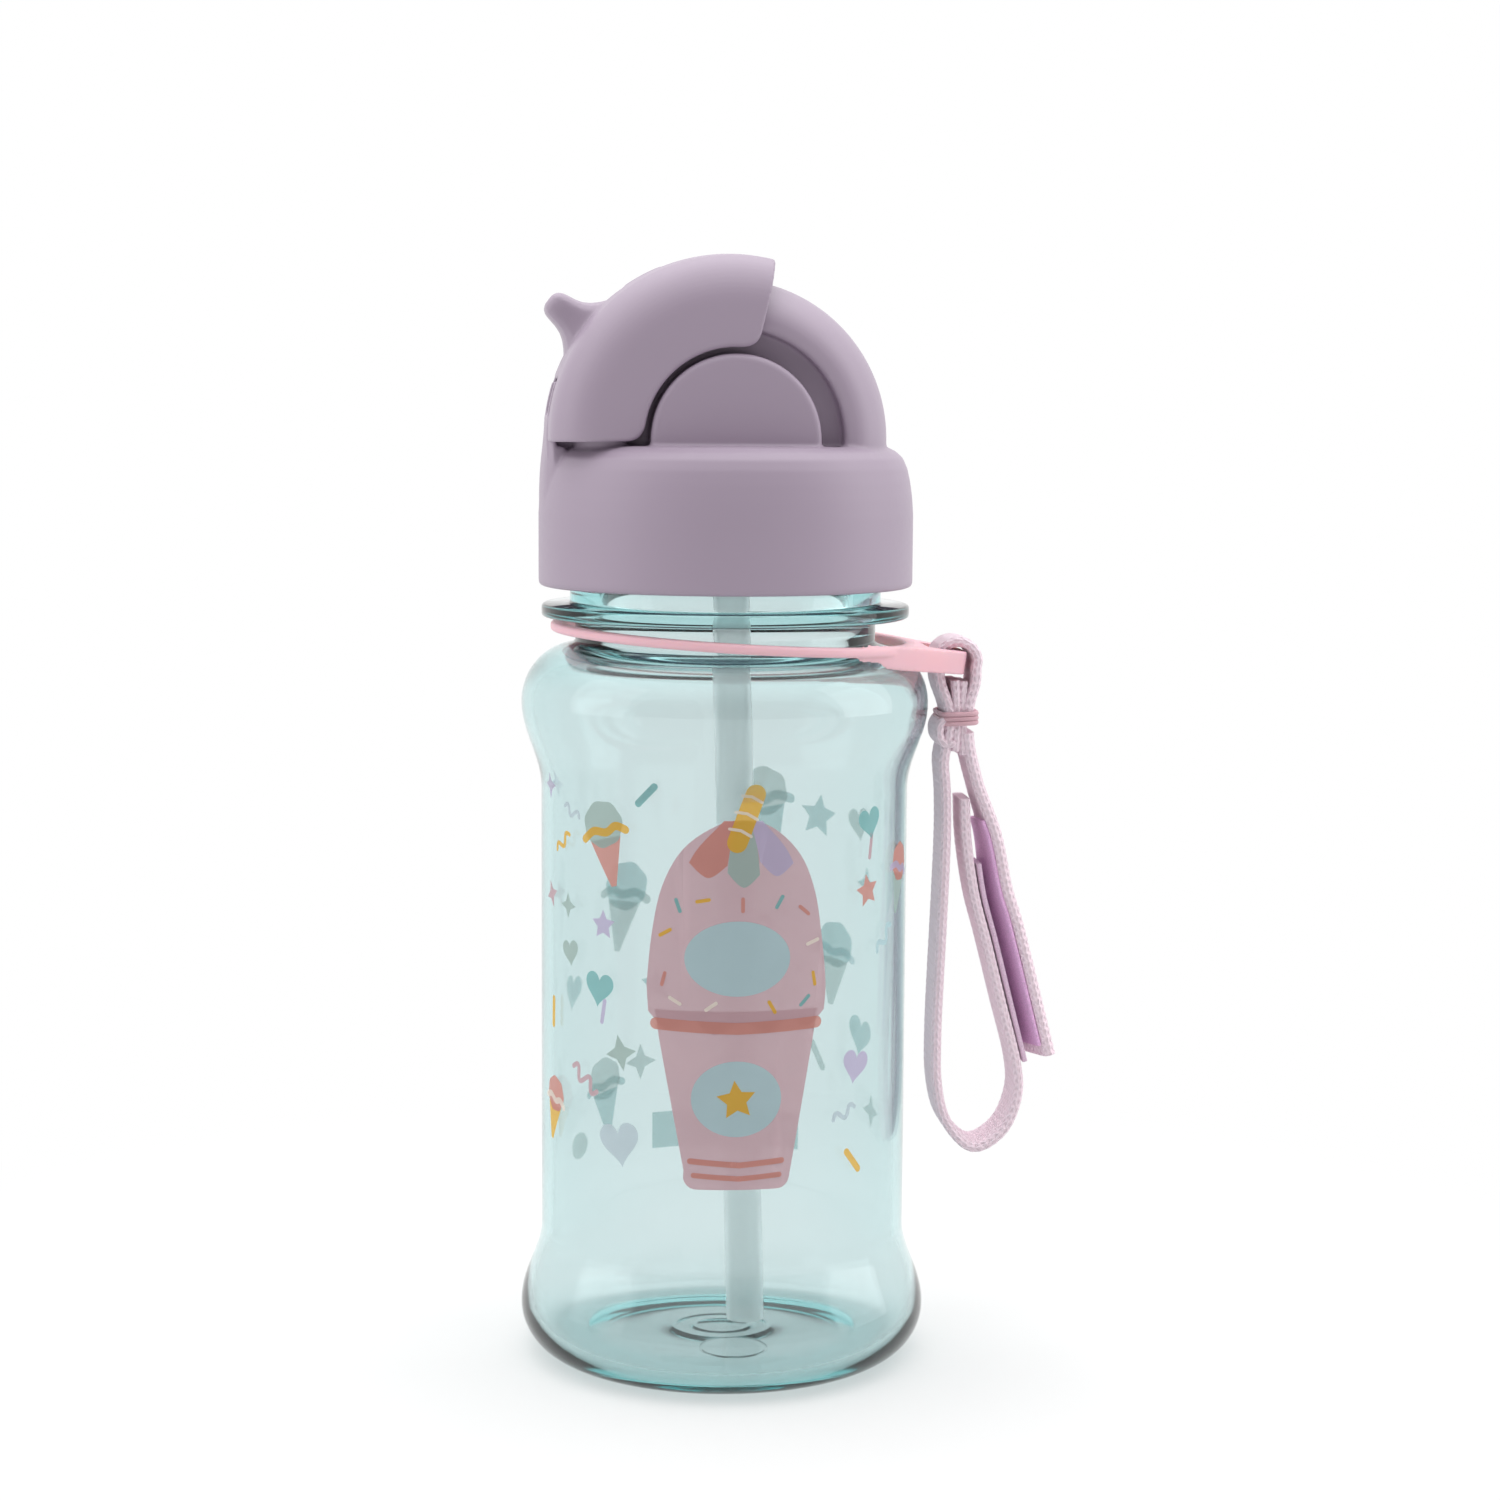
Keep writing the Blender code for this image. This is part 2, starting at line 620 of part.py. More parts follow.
ring_rows = []
for step in range(48):
    turn = 2 * math.pi * step / 48
    section = []
    for radius, rise in (
        (RING_IN, -0.45), (RING_IN + 0.4, -RING_THICK / 2), (RING_OUT - 0.4, -RING_THICK / 2),
        (RING_OUT, -0.45), (RING_OUT, 0.45), (RING_OUT - 0.4, RING_THICK / 2),
        (RING_IN + 0.4, RING_THICK / 2), (RING_IN, 0.45),
    ):
        section.append((RING_X + radius * math.cos(turn), radius * math.sin(turn), RING_Z + rise))
    ring_rows.append(tilted(section, RING_TILT, (RING_X, RING_Z)))
ring_points = [point for row in ring_rows for point in row]
ring_faces = []
for row in range(48):
    for k in range(8):
        a = row * 8 + k
        b = row * 8 + (k + 1) % 8
        c = (row + 1) % 48 * 8 + (k + 1) % 8
        d = (row + 1) % 48 * 8 + k
        ring_faces.append((a, b, c, d))
ring_origin = (0.0, 0.0, RING_Z)
strap_ring = build("strap_ring", ring_points, ring_faces, pink_rubber, origin=ring_origin)

lug = [(24.0, -LUG_START[1]), (LUG_START[0], -LUG_START[1])]
lug += [(x, y) for x, y in arc((37.4, -3.4), 4.3, -48, 0, 4)]
lug += [(x, -y) for x, y in lug[::-1]]
for index, (thick, start_r) in enumerate(((RING_THICK, 32.2), (LUG_THICK, 33.6))):
    plate_rows = []
    for rise in (-thick / 2, thick / 2):
        flat = [(x, y, LUG_Z + rise) for x, y in lug]
        plate_rows.append(tilted(flat, LUG_TILT, (LUG_START[0], LUG_Z)))
    plate = loft(f"lug_plate_{index}", plate_rows, pink_rubber, helper=True)
    trim = lathe(
        f"lug_trim_{index}", [(0, 100), (start_r, 100), (start_r, 145), (0, 145)],
        pink_rubber, steps=64, helper=True)
    combine(plate, trim, "DIFFERENCE")
    combine(strap_ring, plate, "UNION")
slot = box(
    "lug_slot", (SLOT_X[0], -SLOT_WIDE / 2, 110), (SLOT_X[1], SLOT_WIDE / 2, 140),
    pink_rubber, helper=True)
combine(strap_ring, slot, "DIFFERENCE")


# ---------------------------------------------------------------- strap

KEEPER_Z = 112.0
bar = (BAR_X, BAR_Z)
over_bar = arc(bar, LOOP_R, -20, 200, 9)
left_top = [(37.3, 118.2), (38.6, 114.6), (39.1, KEEPER_Z)]
left_leg = [(38.7, 108.5), (38.0, 104.5), (38.4, 99.0), (38.5, 90.5), (38.0, 75.6)]
left_leg += [(37.6, 65.7), (37.3, 56.0), (37.5, 47.5), (39.3, 40.6), (44.0, 35.9), (49.2, 38.6)]
inner_leg = [(51.8, 44.5), (51.6, 50.8), (48.7, 62.0), (46.0, 72.5), (43.7, 81.0), (42.2, 90.5)]
inner_leg += [(41.8, 98.0)]
right_top = [(42.0, KEEPER_Z - 1.0), (42.4, 114.6), (43.4, 118.4)]
web_path = smooth_path(right_top + over_bar + left_top + left_leg + inner_leg, 2)
swing_origin = (BAR_X, 0.0, BAR_Z)
ribbon("strap_webbing", web_path, WEB_WIDE, WEB_THICK, webbing_pink, origin=swing_origin)

hinge_at = (42.0, 0.0, 110.0)
closed_legs = smooth_path(inner_leg[1:6], 4)
legs_side = normals_of(closed_legs)
outer_leg = [(x - nx * 5.0, z - nz * 5.0) for (x, z), (nx, nz) in zip(closed_legs, legs_side)]
outer_path = outer_leg[:-1:3] + [(46.4, 93.5), (44.2, 100.0), (42.6, 106.0), (42.1, 109.6)]
ribbon(
    "strap_hook_leg", smooth_path(outer_path, 3), WEB_WIDE, WEB_THICK + 0.4, webbing_pink,
    origin=hinge_at)
ribbon(
    "loop_tape", closed_legs[:-2], TAPE_WIDE, TAPE_THICK, loop_pink,
    offset=-1.65, chamfer=0.2, origin=swing_origin)
ribbon(
    "hook_tape", closed_legs[:-2], TAPE_WIDE, TAPE_THICK, hook_lilac,
    offset=-2.95, chamfer=0.2, origin=hinge_at)

keeper = box("strap_keeper", (37.2, -5.9, 110.9), (44.0, 5.9, 113.6), thread_pink, origin=swing_origin)
keeper_hole = box("keeper_hole", (37.9, -5.3, 105), (43.3, 5.3, 120), thread_pink, helper=True)
combine(keeper, keeper_hole, "DIFFERENCE")
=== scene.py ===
import math

import bmesh
import bpy
from mathutils import Matrix, Vector


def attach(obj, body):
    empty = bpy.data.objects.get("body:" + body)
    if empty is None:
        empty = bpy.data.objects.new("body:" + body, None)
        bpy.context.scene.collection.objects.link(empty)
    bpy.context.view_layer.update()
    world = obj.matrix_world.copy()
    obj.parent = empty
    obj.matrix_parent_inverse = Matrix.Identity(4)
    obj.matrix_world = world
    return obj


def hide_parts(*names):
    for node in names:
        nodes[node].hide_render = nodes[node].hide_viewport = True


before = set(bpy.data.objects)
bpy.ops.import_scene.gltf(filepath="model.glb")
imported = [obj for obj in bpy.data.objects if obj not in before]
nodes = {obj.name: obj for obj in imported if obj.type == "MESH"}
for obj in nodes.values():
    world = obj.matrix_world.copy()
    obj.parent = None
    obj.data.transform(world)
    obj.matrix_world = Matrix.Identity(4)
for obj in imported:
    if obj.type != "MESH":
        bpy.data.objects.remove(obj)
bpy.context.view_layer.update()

MM = 0.001
scene = bpy.context.scene

# ------------------------------------------------------------------ camera

CAM_DISTANCE = 0.528
CAM_HEIGHT = 0.1665
CAM_AZIMUTH = math.radians(-5)
CAM_PITCH = math.radians(6.5)
CAM_YAW = math.radians(0.48)
CAM_ROLL = math.radians(0.37)
CAM_LENS = 73.2


def add_camera():
    """A camera in front of the bottle, a little to its left and looking slightly down."""
    place = Vector((
        math.sin(CAM_AZIMUTH) * CAM_DISTANCE, -math.cos(CAM_AZIMUTH) * CAM_DISTANCE, CAM_HEIGHT))
    heading = Vector((-math.sin(CAM_AZIMUTH), math.cos(CAM_AZIMUTH), 0))
    heading.rotate(Matrix.Rotation(-CAM_YAW, 3, "Z"))
    forward = heading * math.cos(CAM_PITCH) - Vector((0, 0, math.sin(CAM_PITCH)))
    right = forward.cross(Vector((0, 0, 1))).normalized()
    up = right.cross(forward)
    side = right * math.cos(CAM_ROLL) + up * math.sin(CAM_ROLL)
    head = up * math.cos(CAM_ROLL) - right * math.sin(CAM_ROLL)
    turn = Matrix((side, head, -forward)).transposed().to_4x4()
    data = bpy.data.cameras.new("camera")
    data.lens = CAM_LENS
    data.sensor_width = 36
    camera = bpy.data.objects.new("camera", data)
    camera.matrix_world = Matrix.Translation(place) @ turn
    scene.collection.objects.link(camera)
    scene.camera = camera


add_camera()

# ------------------------------------------------------------------ mesh helpers


def build(name, points, faces, look=None, smooth=40):
    """A mesh object from millimetre points, faces turned outwards."""
    mesh = bpy.data.meshes.new(name)
    mesh.from_pydata([tuple(v * MM for v in p) for p in points], [], faces)
    mesh.validate()
    shell = bmesh.new()
    shell.from_mesh(mesh)
    bmesh.ops.recalc_face_normals(shell, faces=shell.faces)
    shell.to_mesh(mesh)
    shell.free()
    made = bpy.data.objects.new(name, mesh)
    scene.collection.objects.link(made)
    if look:
        mesh.materials.append(look)
    mesh.shade_smooth()
    mesh.set_sharp_from_angle(angle=math.radians(smooth))
    return made


def arc(centre, radius, start, end, count):
    return [(
        centre[0] + radius * math.cos(math.radians(start + (end - start) * k / count)),
        centre[1] + radius * math.sin(math.radians(start + (end - start) * k / count)),
    ) for k in range(count + 1)]


def ease(low, high, start, end, count):
    """A smooth S from radius low at height start to radius high at height end."""
    return [(
        low + (high - low) * (1 - math.cos(math.pi * k / count)) / 2,
        start + (end - start) * k / count,
    ) for k in range(count + 1)]


def lathe(name, profile, look=None, steps=128, along="Z", centre=(0.0, 0.0), smooth=40):
    """Turns (radius, height) points about Z, or about Y through (x, z) centre."""
    points, rings = [], []
    for radius, height in profile:
        ring = []
        for step in range(1 if radius == 0 else steps):
            turn = 2 * math.pi * step / steps
            a, b = radius * math.cos(turn), radius * math.sin(turn)
            ring.append(len(points))
            if along == "Z":
                points.append((centre[0] + a, centre[1] + b, height))
            else:
                points.append((centre[0] + a, height, centre[1] + b))
        rings.append(ring)
    pairs = list(zip(rings, rings[1:]))
    if len(rings[0]) > 1 or len(rings[-1]) > 1:
        pairs.append((rings[-1], rings[0]))
    faces = []
    for first, second in pairs:
        for step in range(steps):
            after = (step + 1) % steps
            if len(first) == 1:
                faces.append((first[0], second[after], second[step]))
            elif len(second) == 1:
                faces.append((first[step], first[after], second[0]))
            else:
                faces.append((first[step], first[after], second[after], second[step]))
    return build(name, points, faces, look, smooth)


def loft(name, sections, look=None, smooth=40, closed=False):
    """A solid through rings of 3-D points; closed joins the last ring to the first."""
    points = [point for section in sections for point in section]
    count = len(sections[0])
    faces = []
    if not closed:
        faces = [tuple(range(count)), tuple(len(points) - 1 - k for k in range(count))]
    rows = len(sections)
    for row in range(rows if closed else rows - 1):
        base, other = row * count, (row + 1) % rows * count
        for k in range(count):
            after = (k + 1) % count
            faces.append((base + k, base + after, other + after, other + k))
    return build(name, points, faces, look, smooth)


def prism(name, outline, low, high):
    """A closed (x, z) outline carried along Y from low to high."""
    return loft(name, [[(x, v, z) for x, z in outline] for v in (low, high)])


def apply_modifiers(obj):
    graph = bpy.context.evaluated_depsgraph_get()
    mesh = bpy.data.meshes.new_from_object(obj.evaluated_get(graph))
    obj.modifiers.clear()
    old = obj.data
    obj.data = mesh
    bpy.data.meshes.remove(old)


def combine(target, other, operation):
    """Joins or cuts target with other, and removes other."""
    step = target.modifiers.new("b", "BOOLEAN")
    step.operation = operation
    step.solver = "EXACT"
    step.object = other
    apply_modifiers(target)
    bpy.data.objects.remove(other, do_unlink=True)


def mould(obj, voxel, rounds, look, factor=0.5):
    """Gives a solid the small even fillets of a moulded part."""
    step = obj.modifiers.new("voxels", "REMESH")
    step.mode = "VOXEL"
    step.voxel_size = voxel * MM
    soften = obj.modifiers.new("soften", "SMOOTH")
    soften.factor = factor
    soften.iterations = rounds
    apply_modifiers(obj)
    obj.data.materials.clear()
    obj.data.materials.append(look)
    obj.data.shade_smooth()


# ------------------------------------------------------------------ material helpers


class Look:
    """A Principled material with short ways to add nodes."""

    def __init__(self, name, colour, roughness, **sockets):
        self.made = bpy.data.materials.new(name)
        self.made.use_nodes = True
        self.nodes = self.made.node_tree.nodes
        self.links = self.made.node_tree.links
        self.shader = self.nodes["Principled BSDF"]
        self.shader.inputs["Base Color"].default_value = (*colour, 1)
        self.shader.inputs["Roughness"].default_value = roughness
        self.colour = colour
        for socket, value in sockets.items():
            self.shader.inputs[socket.replace("_", " ")].default_value = value

    def node(self, kind, **settings):
        made = self.nodes.new("ShaderNode" + kind)
        for key, value in settings.items():
            setattr(made, key, value)
        return made

    def link(self, source, target):
        self.links.new(source, target)

    def maths(self, operation, a, b=None):
        made = self.node("Math", operation=operation)
        for socket, value in zip(made.inputs, (a, b)):
            if value is None:
                continue
            if isinstance(value, (int, float)):
                socket.default_value = value
            else:
                self.link(value, socket)
        return made.outputs[0]

    def noise(self, scale, detail=2.0, coords="Object"):
        place = self.node("TexCoord")
        made = self.node("TexNoise")
        made.inputs["Scale"].default_value = scale
        made.inputs["Detail"].default_value = detail
        self.link(place.outputs[coords], made.inputs["Vector"])
        return made.outputs["Fac"]

    def tint(self, fac, dark, light):
        """Base colour runs between two shades of the material's colour along fac."""
        ramp = self.node("ValToRGB")
        ramp.color_ramp.elements[0].position = 0.3
        ramp.color_ramp.elements[1].position = 0.7
        ramp.color_ramp.elements[0].color = (*(v * dark for v in self.colour), 1)
        ramp.color_ramp.elements[1].color = (*(min(1, v * light) for v in self.colour), 1)
        self.link(fac, ramp.inputs["Fac"])
        self.link(ramp.outputs["Color"], self.shader.inputs["Base Color"])
        return self

    def rough(self, fac, low, high):
        span = self.node("MapRange")
        span.inputs["To Min"].default_value = low
        span.inputs["To Max"].default_value = high
        self.link(fac, span.inputs["Value"])
        self.link(span.outputs["Result"], self.shader.inputs["Roughness"])
        return self

    def bump(self, height, strength, distance):
        made = self.node("Bump")
        made.inputs["Strength"].default_value = strength
        made.inputs["Distance"].default_value = distance
        self.link(height, made.inputs["Height"])
        self.link(made.outputs["Normal"], self.shader.inputs["Normal"])
        return self


def srgb(text):
    """A linear colour from six hexadecimal digits."""
    parts = [int(text[k:k + 2], 16) / 255 for k in (0, 2, 4)]
    return tuple(v / 12.92 if v <= 0.04045 else ((v + 0.055) / 1.055) ** 2.4 for v in parts)


def moulded_plastic(name, colour, roughness, grain=0.02):
    """Satin injection-moulded plastic: faint clouding and a fine spark-eroded grain."""
    look = Look(name, colour, roughness, IOR=1.48)
    look.tint(look.noise(35), 0.985, 1.015)
    look.rough(look.noise(900), roughness - 0.05, roughness + 0.06)
    look.bump(look.noise(5200, 3), grain, 0.0002)
    return look.made


def soft_rubber(name, colour, roughness, **sockets):
    look = Look(name, colour, roughness, **sockets)
    look.tint(look.noise(60), 0.98, 1.02)
    look.bump(look.noise(2600, 3), 0.05, 0.0002)
    return look.made


def knitted(name, colour, wale=1.4, course=1.4, depth=0.5):
    """Knitted webbing: columns of small V stitches along the strap, from its UV in millimetres."""
    look = Look(name, colour, 0.92, Sheen_Weight=0.5, Sheen_Roughness=0.35)
    look.shader.inputs["Sheen Tint"].default_value = (1, 0.93, 0.96, 1)
    place = look.node("TexCoord")
    split = look.node("SeparateXYZ")
    look.link(place.outputs["UV"], split.inputs[0])
    column = look.maths("FRACT", look.maths("DIVIDE", split.outputs[1], wale))
    from_mid = look.maths("ABSOLUTE", look.maths("SUBTRACT", column, 0.5))
    along = look.maths("DIVIDE", split.outputs[0], course)
    row = look.maths("ADD", along, look.maths("MULTIPLY", from_mid, 1.3))
    wave = look.maths("SINE", look.maths("MULTIPLY", row, 2 * math.pi))
    beside = look.maths("SUBTRACT", from_mid, 0.25)
    ridge = look.maths("COSINE", look.maths("MULTIPLY", beside, 4 * math.pi))
    height = look.maths("ADD", look.maths("MULTIPLY", wave, 0.5), look.maths("MULTIPLY", ridge, 0.5))
    fuzz = look.noise(3000, 4)
    height = look.maths("ADD", height, look.maths("MULTIPLY", fuzz, 0.8))
    look.bump(height, depth, 0.0005)
    # The base colour follows the stitch height, darker in the hollows and lighter on the ridges: painted
    # shade in the knit's crevices.
    shade = look.maths("ADD", look.maths("MULTIPLY", height, 0.3), 0.4)
    look.tint(shade, 0.88, 1.04)
    return look.made


# ------------------------------------------------------------------ materials

CAP_COLOUR = srgb("a293a4")
TRITAN_DENSITY = 71
tritan = Look("tritan", (0.90, 0.892, 0.895), 0.03, Transmission_Weight=1.0, IOR=1.42)
tritan_volume = tritan.node("VolumeAbsorption")
tritan_volume.inputs["Color"].default_value = (0.0, 0.76, 0.77, 1)
tritan_volume.inputs["Density"].default_value = TRITAN_DENSITY
tritan.link(tritan_volume.outputs[0], tritan.nodes["Material Output"].inputs["Volume"])
tritan.rough(tritan.noise(25), 0.02, 0.07)
tritan.bump(tritan.noise(45, 1), 0.03, 0.0006)
cap = moulded_plastic("cap_plastic", CAP_COLOUR, 0.42)
cap_inner = moulded_plastic("cap_inner", srgb("9b8c9f"), 0.5)
milky = soft_rubber(
    "milky_silicone", srgb("d9d4da"), 0.45, Transmission_Weight=0.25, Subsurface_Weight=0.2)
seal = soft_rubber("seal_silicone", srgb("dcd8dc"), 0.5)
straw_look = Look("straw_tube", srgb("f3f6f6"), 0.55, Transmission_Weight=0.8, IOR=1.12)
straw_look.bump(straw_look.noise(300), 0.05, 0.0003)
pink = soft_rubber("pink_rubber", srgb("f0b6c1"), 0.45, Subsurface_Weight=0.15)
pink_knit = knitted("pink_knit", srgb("ffe6f1"))
hook = Look("hook_tape", srgb("e6b4e0"), 0.6, Sheen_Weight=0.2)
hook.bump(hook.noise(4200, 2), 0.4, 0.0003)
# The colour uses the same noise as the bump, so the tape is darker in its dips and lighter on its peaks:
# painted shade in the hook tape's hollows.
hook.tint(hook.noise(4200, 2), 0.85, 1.15)
loop_pile = Look("loop_tape", srgb("e6c8df"), 0.95, Sheen_Weight=0.5)
loop_pile.bump(loop_pile.noise(3600, 4), 0.7, 0.0004)
# The colour uses the same noise as the bump, so the pile is darker in its dips and lighter on its peaks:
# painted shade in the loop tape's hollows.
loop_pile.tint(loop_pile.noise(3600, 4), 0.86, 1.1)
yarn = Look("keeper_yarn", srgb("d9aeb9"), 0.85, Sheen_Weight=0.3)
yarn.bump(yarn.noise(5000, 3), 0.6, 0.0003)


def paint(node, look):
    mesh = nodes[node].data
    mesh.materials.clear()
    mesh.materials.append(look)


paint("lid_thread_insert", cap_inner)
paint("spout_retainer", cap_inner)
paint("spout_base", milky)
paint("lid_gasket", seal)
paint("vent_valve", seal)

# ------------------------------------------------------------------ strap


def smooth_path(points, per_span):
    padded = [points[0], *points, points[-1]]
    curve = []
    for k in range(len(points) - 1):
        a, b, c, d = padded[k:k + 4]
        for step in range(per_span):
            t = step / per_span
            curve.append(tuple(
                0.5 * (2 * b[i] + (c[i] - a[i]) * t
                       + (2 * a[i] - 5 * b[i] + 4 * c[i] - d[i]) * t * t
                       + (3 * b[i] - a[i] - 3 * c[i] + d[i]) * t ** 3)
                for i in range(2)))
    curve.append(tuple(points[-1]))
    return curve


def normals_of(path):
    found = []
    for k in range(len(path)):
        before, after = path[max(k - 1, 0)], path[min(k + 1, len(path) - 1)]
        dx, dz = after[0] - before[0], after[1] - before[1]
        size = math.hypot(dx, dz)
        found.append((-dz / size, dx / size))
    return found


def spaced(path, pitch):
    """The same path with points a fixed pitch apart."""
    kept, carry = [path[0]], 0.0
    for a, b in zip(path, path[1:]):
        run = math.dist(a, b)
        place = pitch - carry
        while place <= run:
            kept.append((a[0] + (b[0] - a[0]) * place / run, a[1] + (b[1] - a[1]) * place / run))
            place += pitch
        carry = run - (place - pitch)
    kept.append(path[-1])
    return kept


def webbing(name, path, wide, thick, look, offset=0.0, ripple=0.22, course=1.4, roll=None):
    """Knitted webbing: a flat band with rounded, scalloped edges and UVs in millimetres."""
    path = spaced(path, 0.38)
    rim = arc((0, 0), 1.0, -90, 90, 6)
    sections, lengths, run = [], [], 0.0
    for k, ((x, z), (nx, nz)) in enumerate(zip(path, normals_of(path))):
        if k:
            run += math.dist(path[k - 1], path[k])
        lengths.append(run)
        wave = ripple * math.sin(2 * math.pi * run / course)
        half_w = wide / 2 + wave * 0.6
        half_t = thick / 2
        turn = math.radians(roll(run)) if roll else 0.0
        c_roll, s_roll = math.cos(turn), math.sin(turn)
        ring = []
        for c, s in rim:
            ring.append((half_w - half_t + c * half_t, s * half_t))
        for k2 in range(1, 5):
            ring.append((half_w * (1 - k2 * 0.4), half_t + wave * 0.25 * math.cos(k2 * 2.2)))
        for c, s in rim:
            ring.append((-half_w + half_t - c * half_t, -s * half_t))
        for k2 in range(1, 5):
            ring.append((-half_w * (1 - k2 * 0.4), -half_t - wave * 0.25 * math.cos(k2 * 2.2)))
        placed = []
        for y, t in ring:
            lift = (offset + t) * c_roll + y * s_roll
            placed.append((x + nx * lift, y * c_roll - (offset + t) * s_roll, z + nz * lift))
        sections.append(placed)
    made = loft(name, sections, look, smooth=70)
    count = len(sections[0])
    around = [0.0]
    for a, b in zip(sections[0], sections[0][1:]):
        around.append(around[-1] + math.dist(a, b))
    uv = made.data.uv_layers.new(name="UVMap")
    for face in made.data.polygons:
        ids = [made.data.loops[k].vertex_index for k in face.loop_indices]
        wraps = len(ids) == 4 and {i % count for i in ids} == {0, count - 1}
        for k, i in zip(face.loop_indices, ids):
            v = around[i % count]
            if wraps and i % count == 0:
                v = around[-1] + math.dist(sections[0][-1], sections[0][0])
            uv.data[k].uv = (lengths[i // count], v)
    return made


BAR = (40.2, 122.0)
WEB_WIDE, WEB_THICK = 10.0, 1.8
HOOK_LEG_THICK = 2.2
TAPE_WIDE = 8.8
LEG_PITCH = 5.0
KEEPER_AT = (40.6, 0, 112.2)
over_bar = arc(BAR, 3.5, -20, 200, 9)
left_top = [(37.3, 118.2), (38.6, 114.6), (39.1, 112.0)]
left_leg = [(38.7, 108.5), (38.0, 104.5), (38.4, 99.0), (38.5, 90.5), (38.0, 75.6)]
left_leg += [(37.6, 65.7), (37.3, 56.0), (37.5, 47.5), (39.3, 40.6), (44.0, 35.9), (49.2, 38.6)]
inner_leg = [(51.8, 44.5), (51.6, 50.8), (48.7, 62.0), (46.0, 72.5), (43.7, 81.0), (42.2, 90.5)]
inner_leg += [(41.8, 98.0)]
right_top = [(42.0, 111.0), (42.4, 114.6), (43.4, 118.4)]
web_path = smooth_path(right_top + over_bar + left_top + left_leg + inner_leg, 6)
strap_web = webbing("strap_web", web_path, WEB_WIDE, WEB_THICK, pink_knit)

closed_legs = smooth_path(inner_leg[1:6], 8)
leg_sides = normals_of(closed_legs)
outer_leg = [(x - nx * LEG_PITCH, z - nz * LEG_PITCH) for (x, z), (nx, nz) in zip(closed_legs, leg_sides)]
outer_path = outer_leg[:-2:6] + [(46.4, 93.5), (44.2, 100.0), (42.6, 106.0), (42.1, 109.6)]
outer_path = smooth_path(outer_path, 6)


def leg_roll(run):
    """The outer leg is twisted so that its hook face turns towards the front, less so near the keeper."""
    return 17.0 * min(1.0, max(0.0, (50.0 - run) / 26.0))


hook_leg = webbing(
    "strap_hook_band", outer_path, WEB_WIDE, HOOK_LEG_THICK, pink_knit, roll=leg_roll)


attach(strap_web, "strap")
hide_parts("strap_webbing")
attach(hook_leg, "flap")
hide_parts("strap_hook_leg")

tape_legs = closed_legs[:-4]
loop_strip = webbing(
    "loop_strip", tape_legs, TAPE_WIDE, 0.9, loop_pile.made, offset=-1.65, ripple=0.04)
hook_path = [point for point in outer_path if point[1] < 95.5][2:]
hook_strip = webbing(
    "hook_strip", hook_path, TAPE_WIDE, 0.7, hook.made, offset=1.5, ripple=0.0, roll=leg_roll)
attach(loop_strip, "strap")
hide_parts("loop_tape")
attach(hook_strip, "flap")
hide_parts("hook_tape")


def yarn_loop(name, centre, half_x, half_y, rise, radius, look, tilt=0.0):
    """One turn of yarn round the webbing."""
    sections = []
    for step in range(40):
        turn = 2 * math.pi * step / 40
        c, s = math.cos(turn), math.sin(turn)
        power = (abs(c) ** 5 + abs(s) ** 5) ** (-1 / 5)
        out = Vector((c * half_x * power, s * half_y * power, tilt * c))
        normal = Vector((c / half_x, s / half_y, 0)).normalized()
        ring = []
        for k in range(8):
            a = 2 * math.pi * k / 8
            ring.append(tuple(
                Vector(centre) + out + normal * (radius * math.cos(a))
                + Vector((0, 0, rise + radius * math.sin(a)))))
        sections.append(ring)
    return loft(name, sections, look, smooth=80, closed=True)


turns = []
for k in range(3):
    turns.append(yarn_loop(
        f"keeper_turn_{k}", KEEPER_AT, 3.2, 5.3, -0.85 + 0.8 * k, 0.42, yarn.made, 0.12))
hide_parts("strap_keeper")
for turn_of_yarn in turns:
    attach(turn_of_yarn, "strap")
fold_path = []
for a in range(60, 316, 15):
    lean = math.radians(a)
    fold_path.append((38.6 + 1.5 * math.cos(lean), 109.8 + 2.2 * math.sin(lean)))
fold = webbing("strap_fold", fold_path, 10.4, 1.5, pink_knit)
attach(fold, "strap")

# The webbing is gathered in two narrow folds where the keeper closes it round the bar.
gathers = []
for k, gather_path in enumerate((
    [(39.8, 118.8), (40.0, 115.4), (40.2, 112.0), (40.1, 108.8), (39.9, 106.4)],
    [(41.3, 118.6), (41.2, 115.2), (41.2, 112.0), (41.3, 108.6), (41.4, 105.8)],
)):
    gathers.append(webbing(
        f"strap_gather_{k}", smooth_path(gather_path, 6), 9.8 - 0.5 * k, 1.5, pink_knit))
    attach(gathers[-1], "strap")

# ------------------------------------------------------------------ bottle

BASE_R, WAIST_R, SHOULDER_R = 35.5, 31.85, 35.3
INNER_WAIST_R, INNER_SHOULDER_R = 29.95, 33.4
SHOULDER_Z = 115

outer = [(0.0, 1.6), (4.3, 1.6), (4.7, 1.48), (5.1, 1.6), (7.9, 1.6), (8.4, 1.44), (8.9, 1.6)]
outer += [(14.0, 1.5), (21.5, 0.9), (23.6, 0.15), (24.2, 0.0)]
outer += arc((27.0, 8.5), 8.5, -90, 0, 18)
outer += ease(BASE_R, WAIST_R, 8.5, 23.0, 18)[1:]
outer += [(WAIST_R, 28 + 4 * k) for k in range(18)]
outer += ease(WAIST_R, SHOULDER_R, 100.0, 115.0, 18)
outer += [
    (26 + 9.3 * math.cos(math.pi * k / 40), SHOULDER_Z + 10 * math.sin(math.pi * k / 40))
    for k in range(1, 19)]
outer += [(26.3, 125.3), (26.0, 125.8), (26.0, 129.3), (26.3, 129.7)]
outer += [(31.2, 129.7), (31.6, 129.85), (31.8, 130.2), (31.8, 131.5), (31.6, 131.85), (31.2, 132.0)]
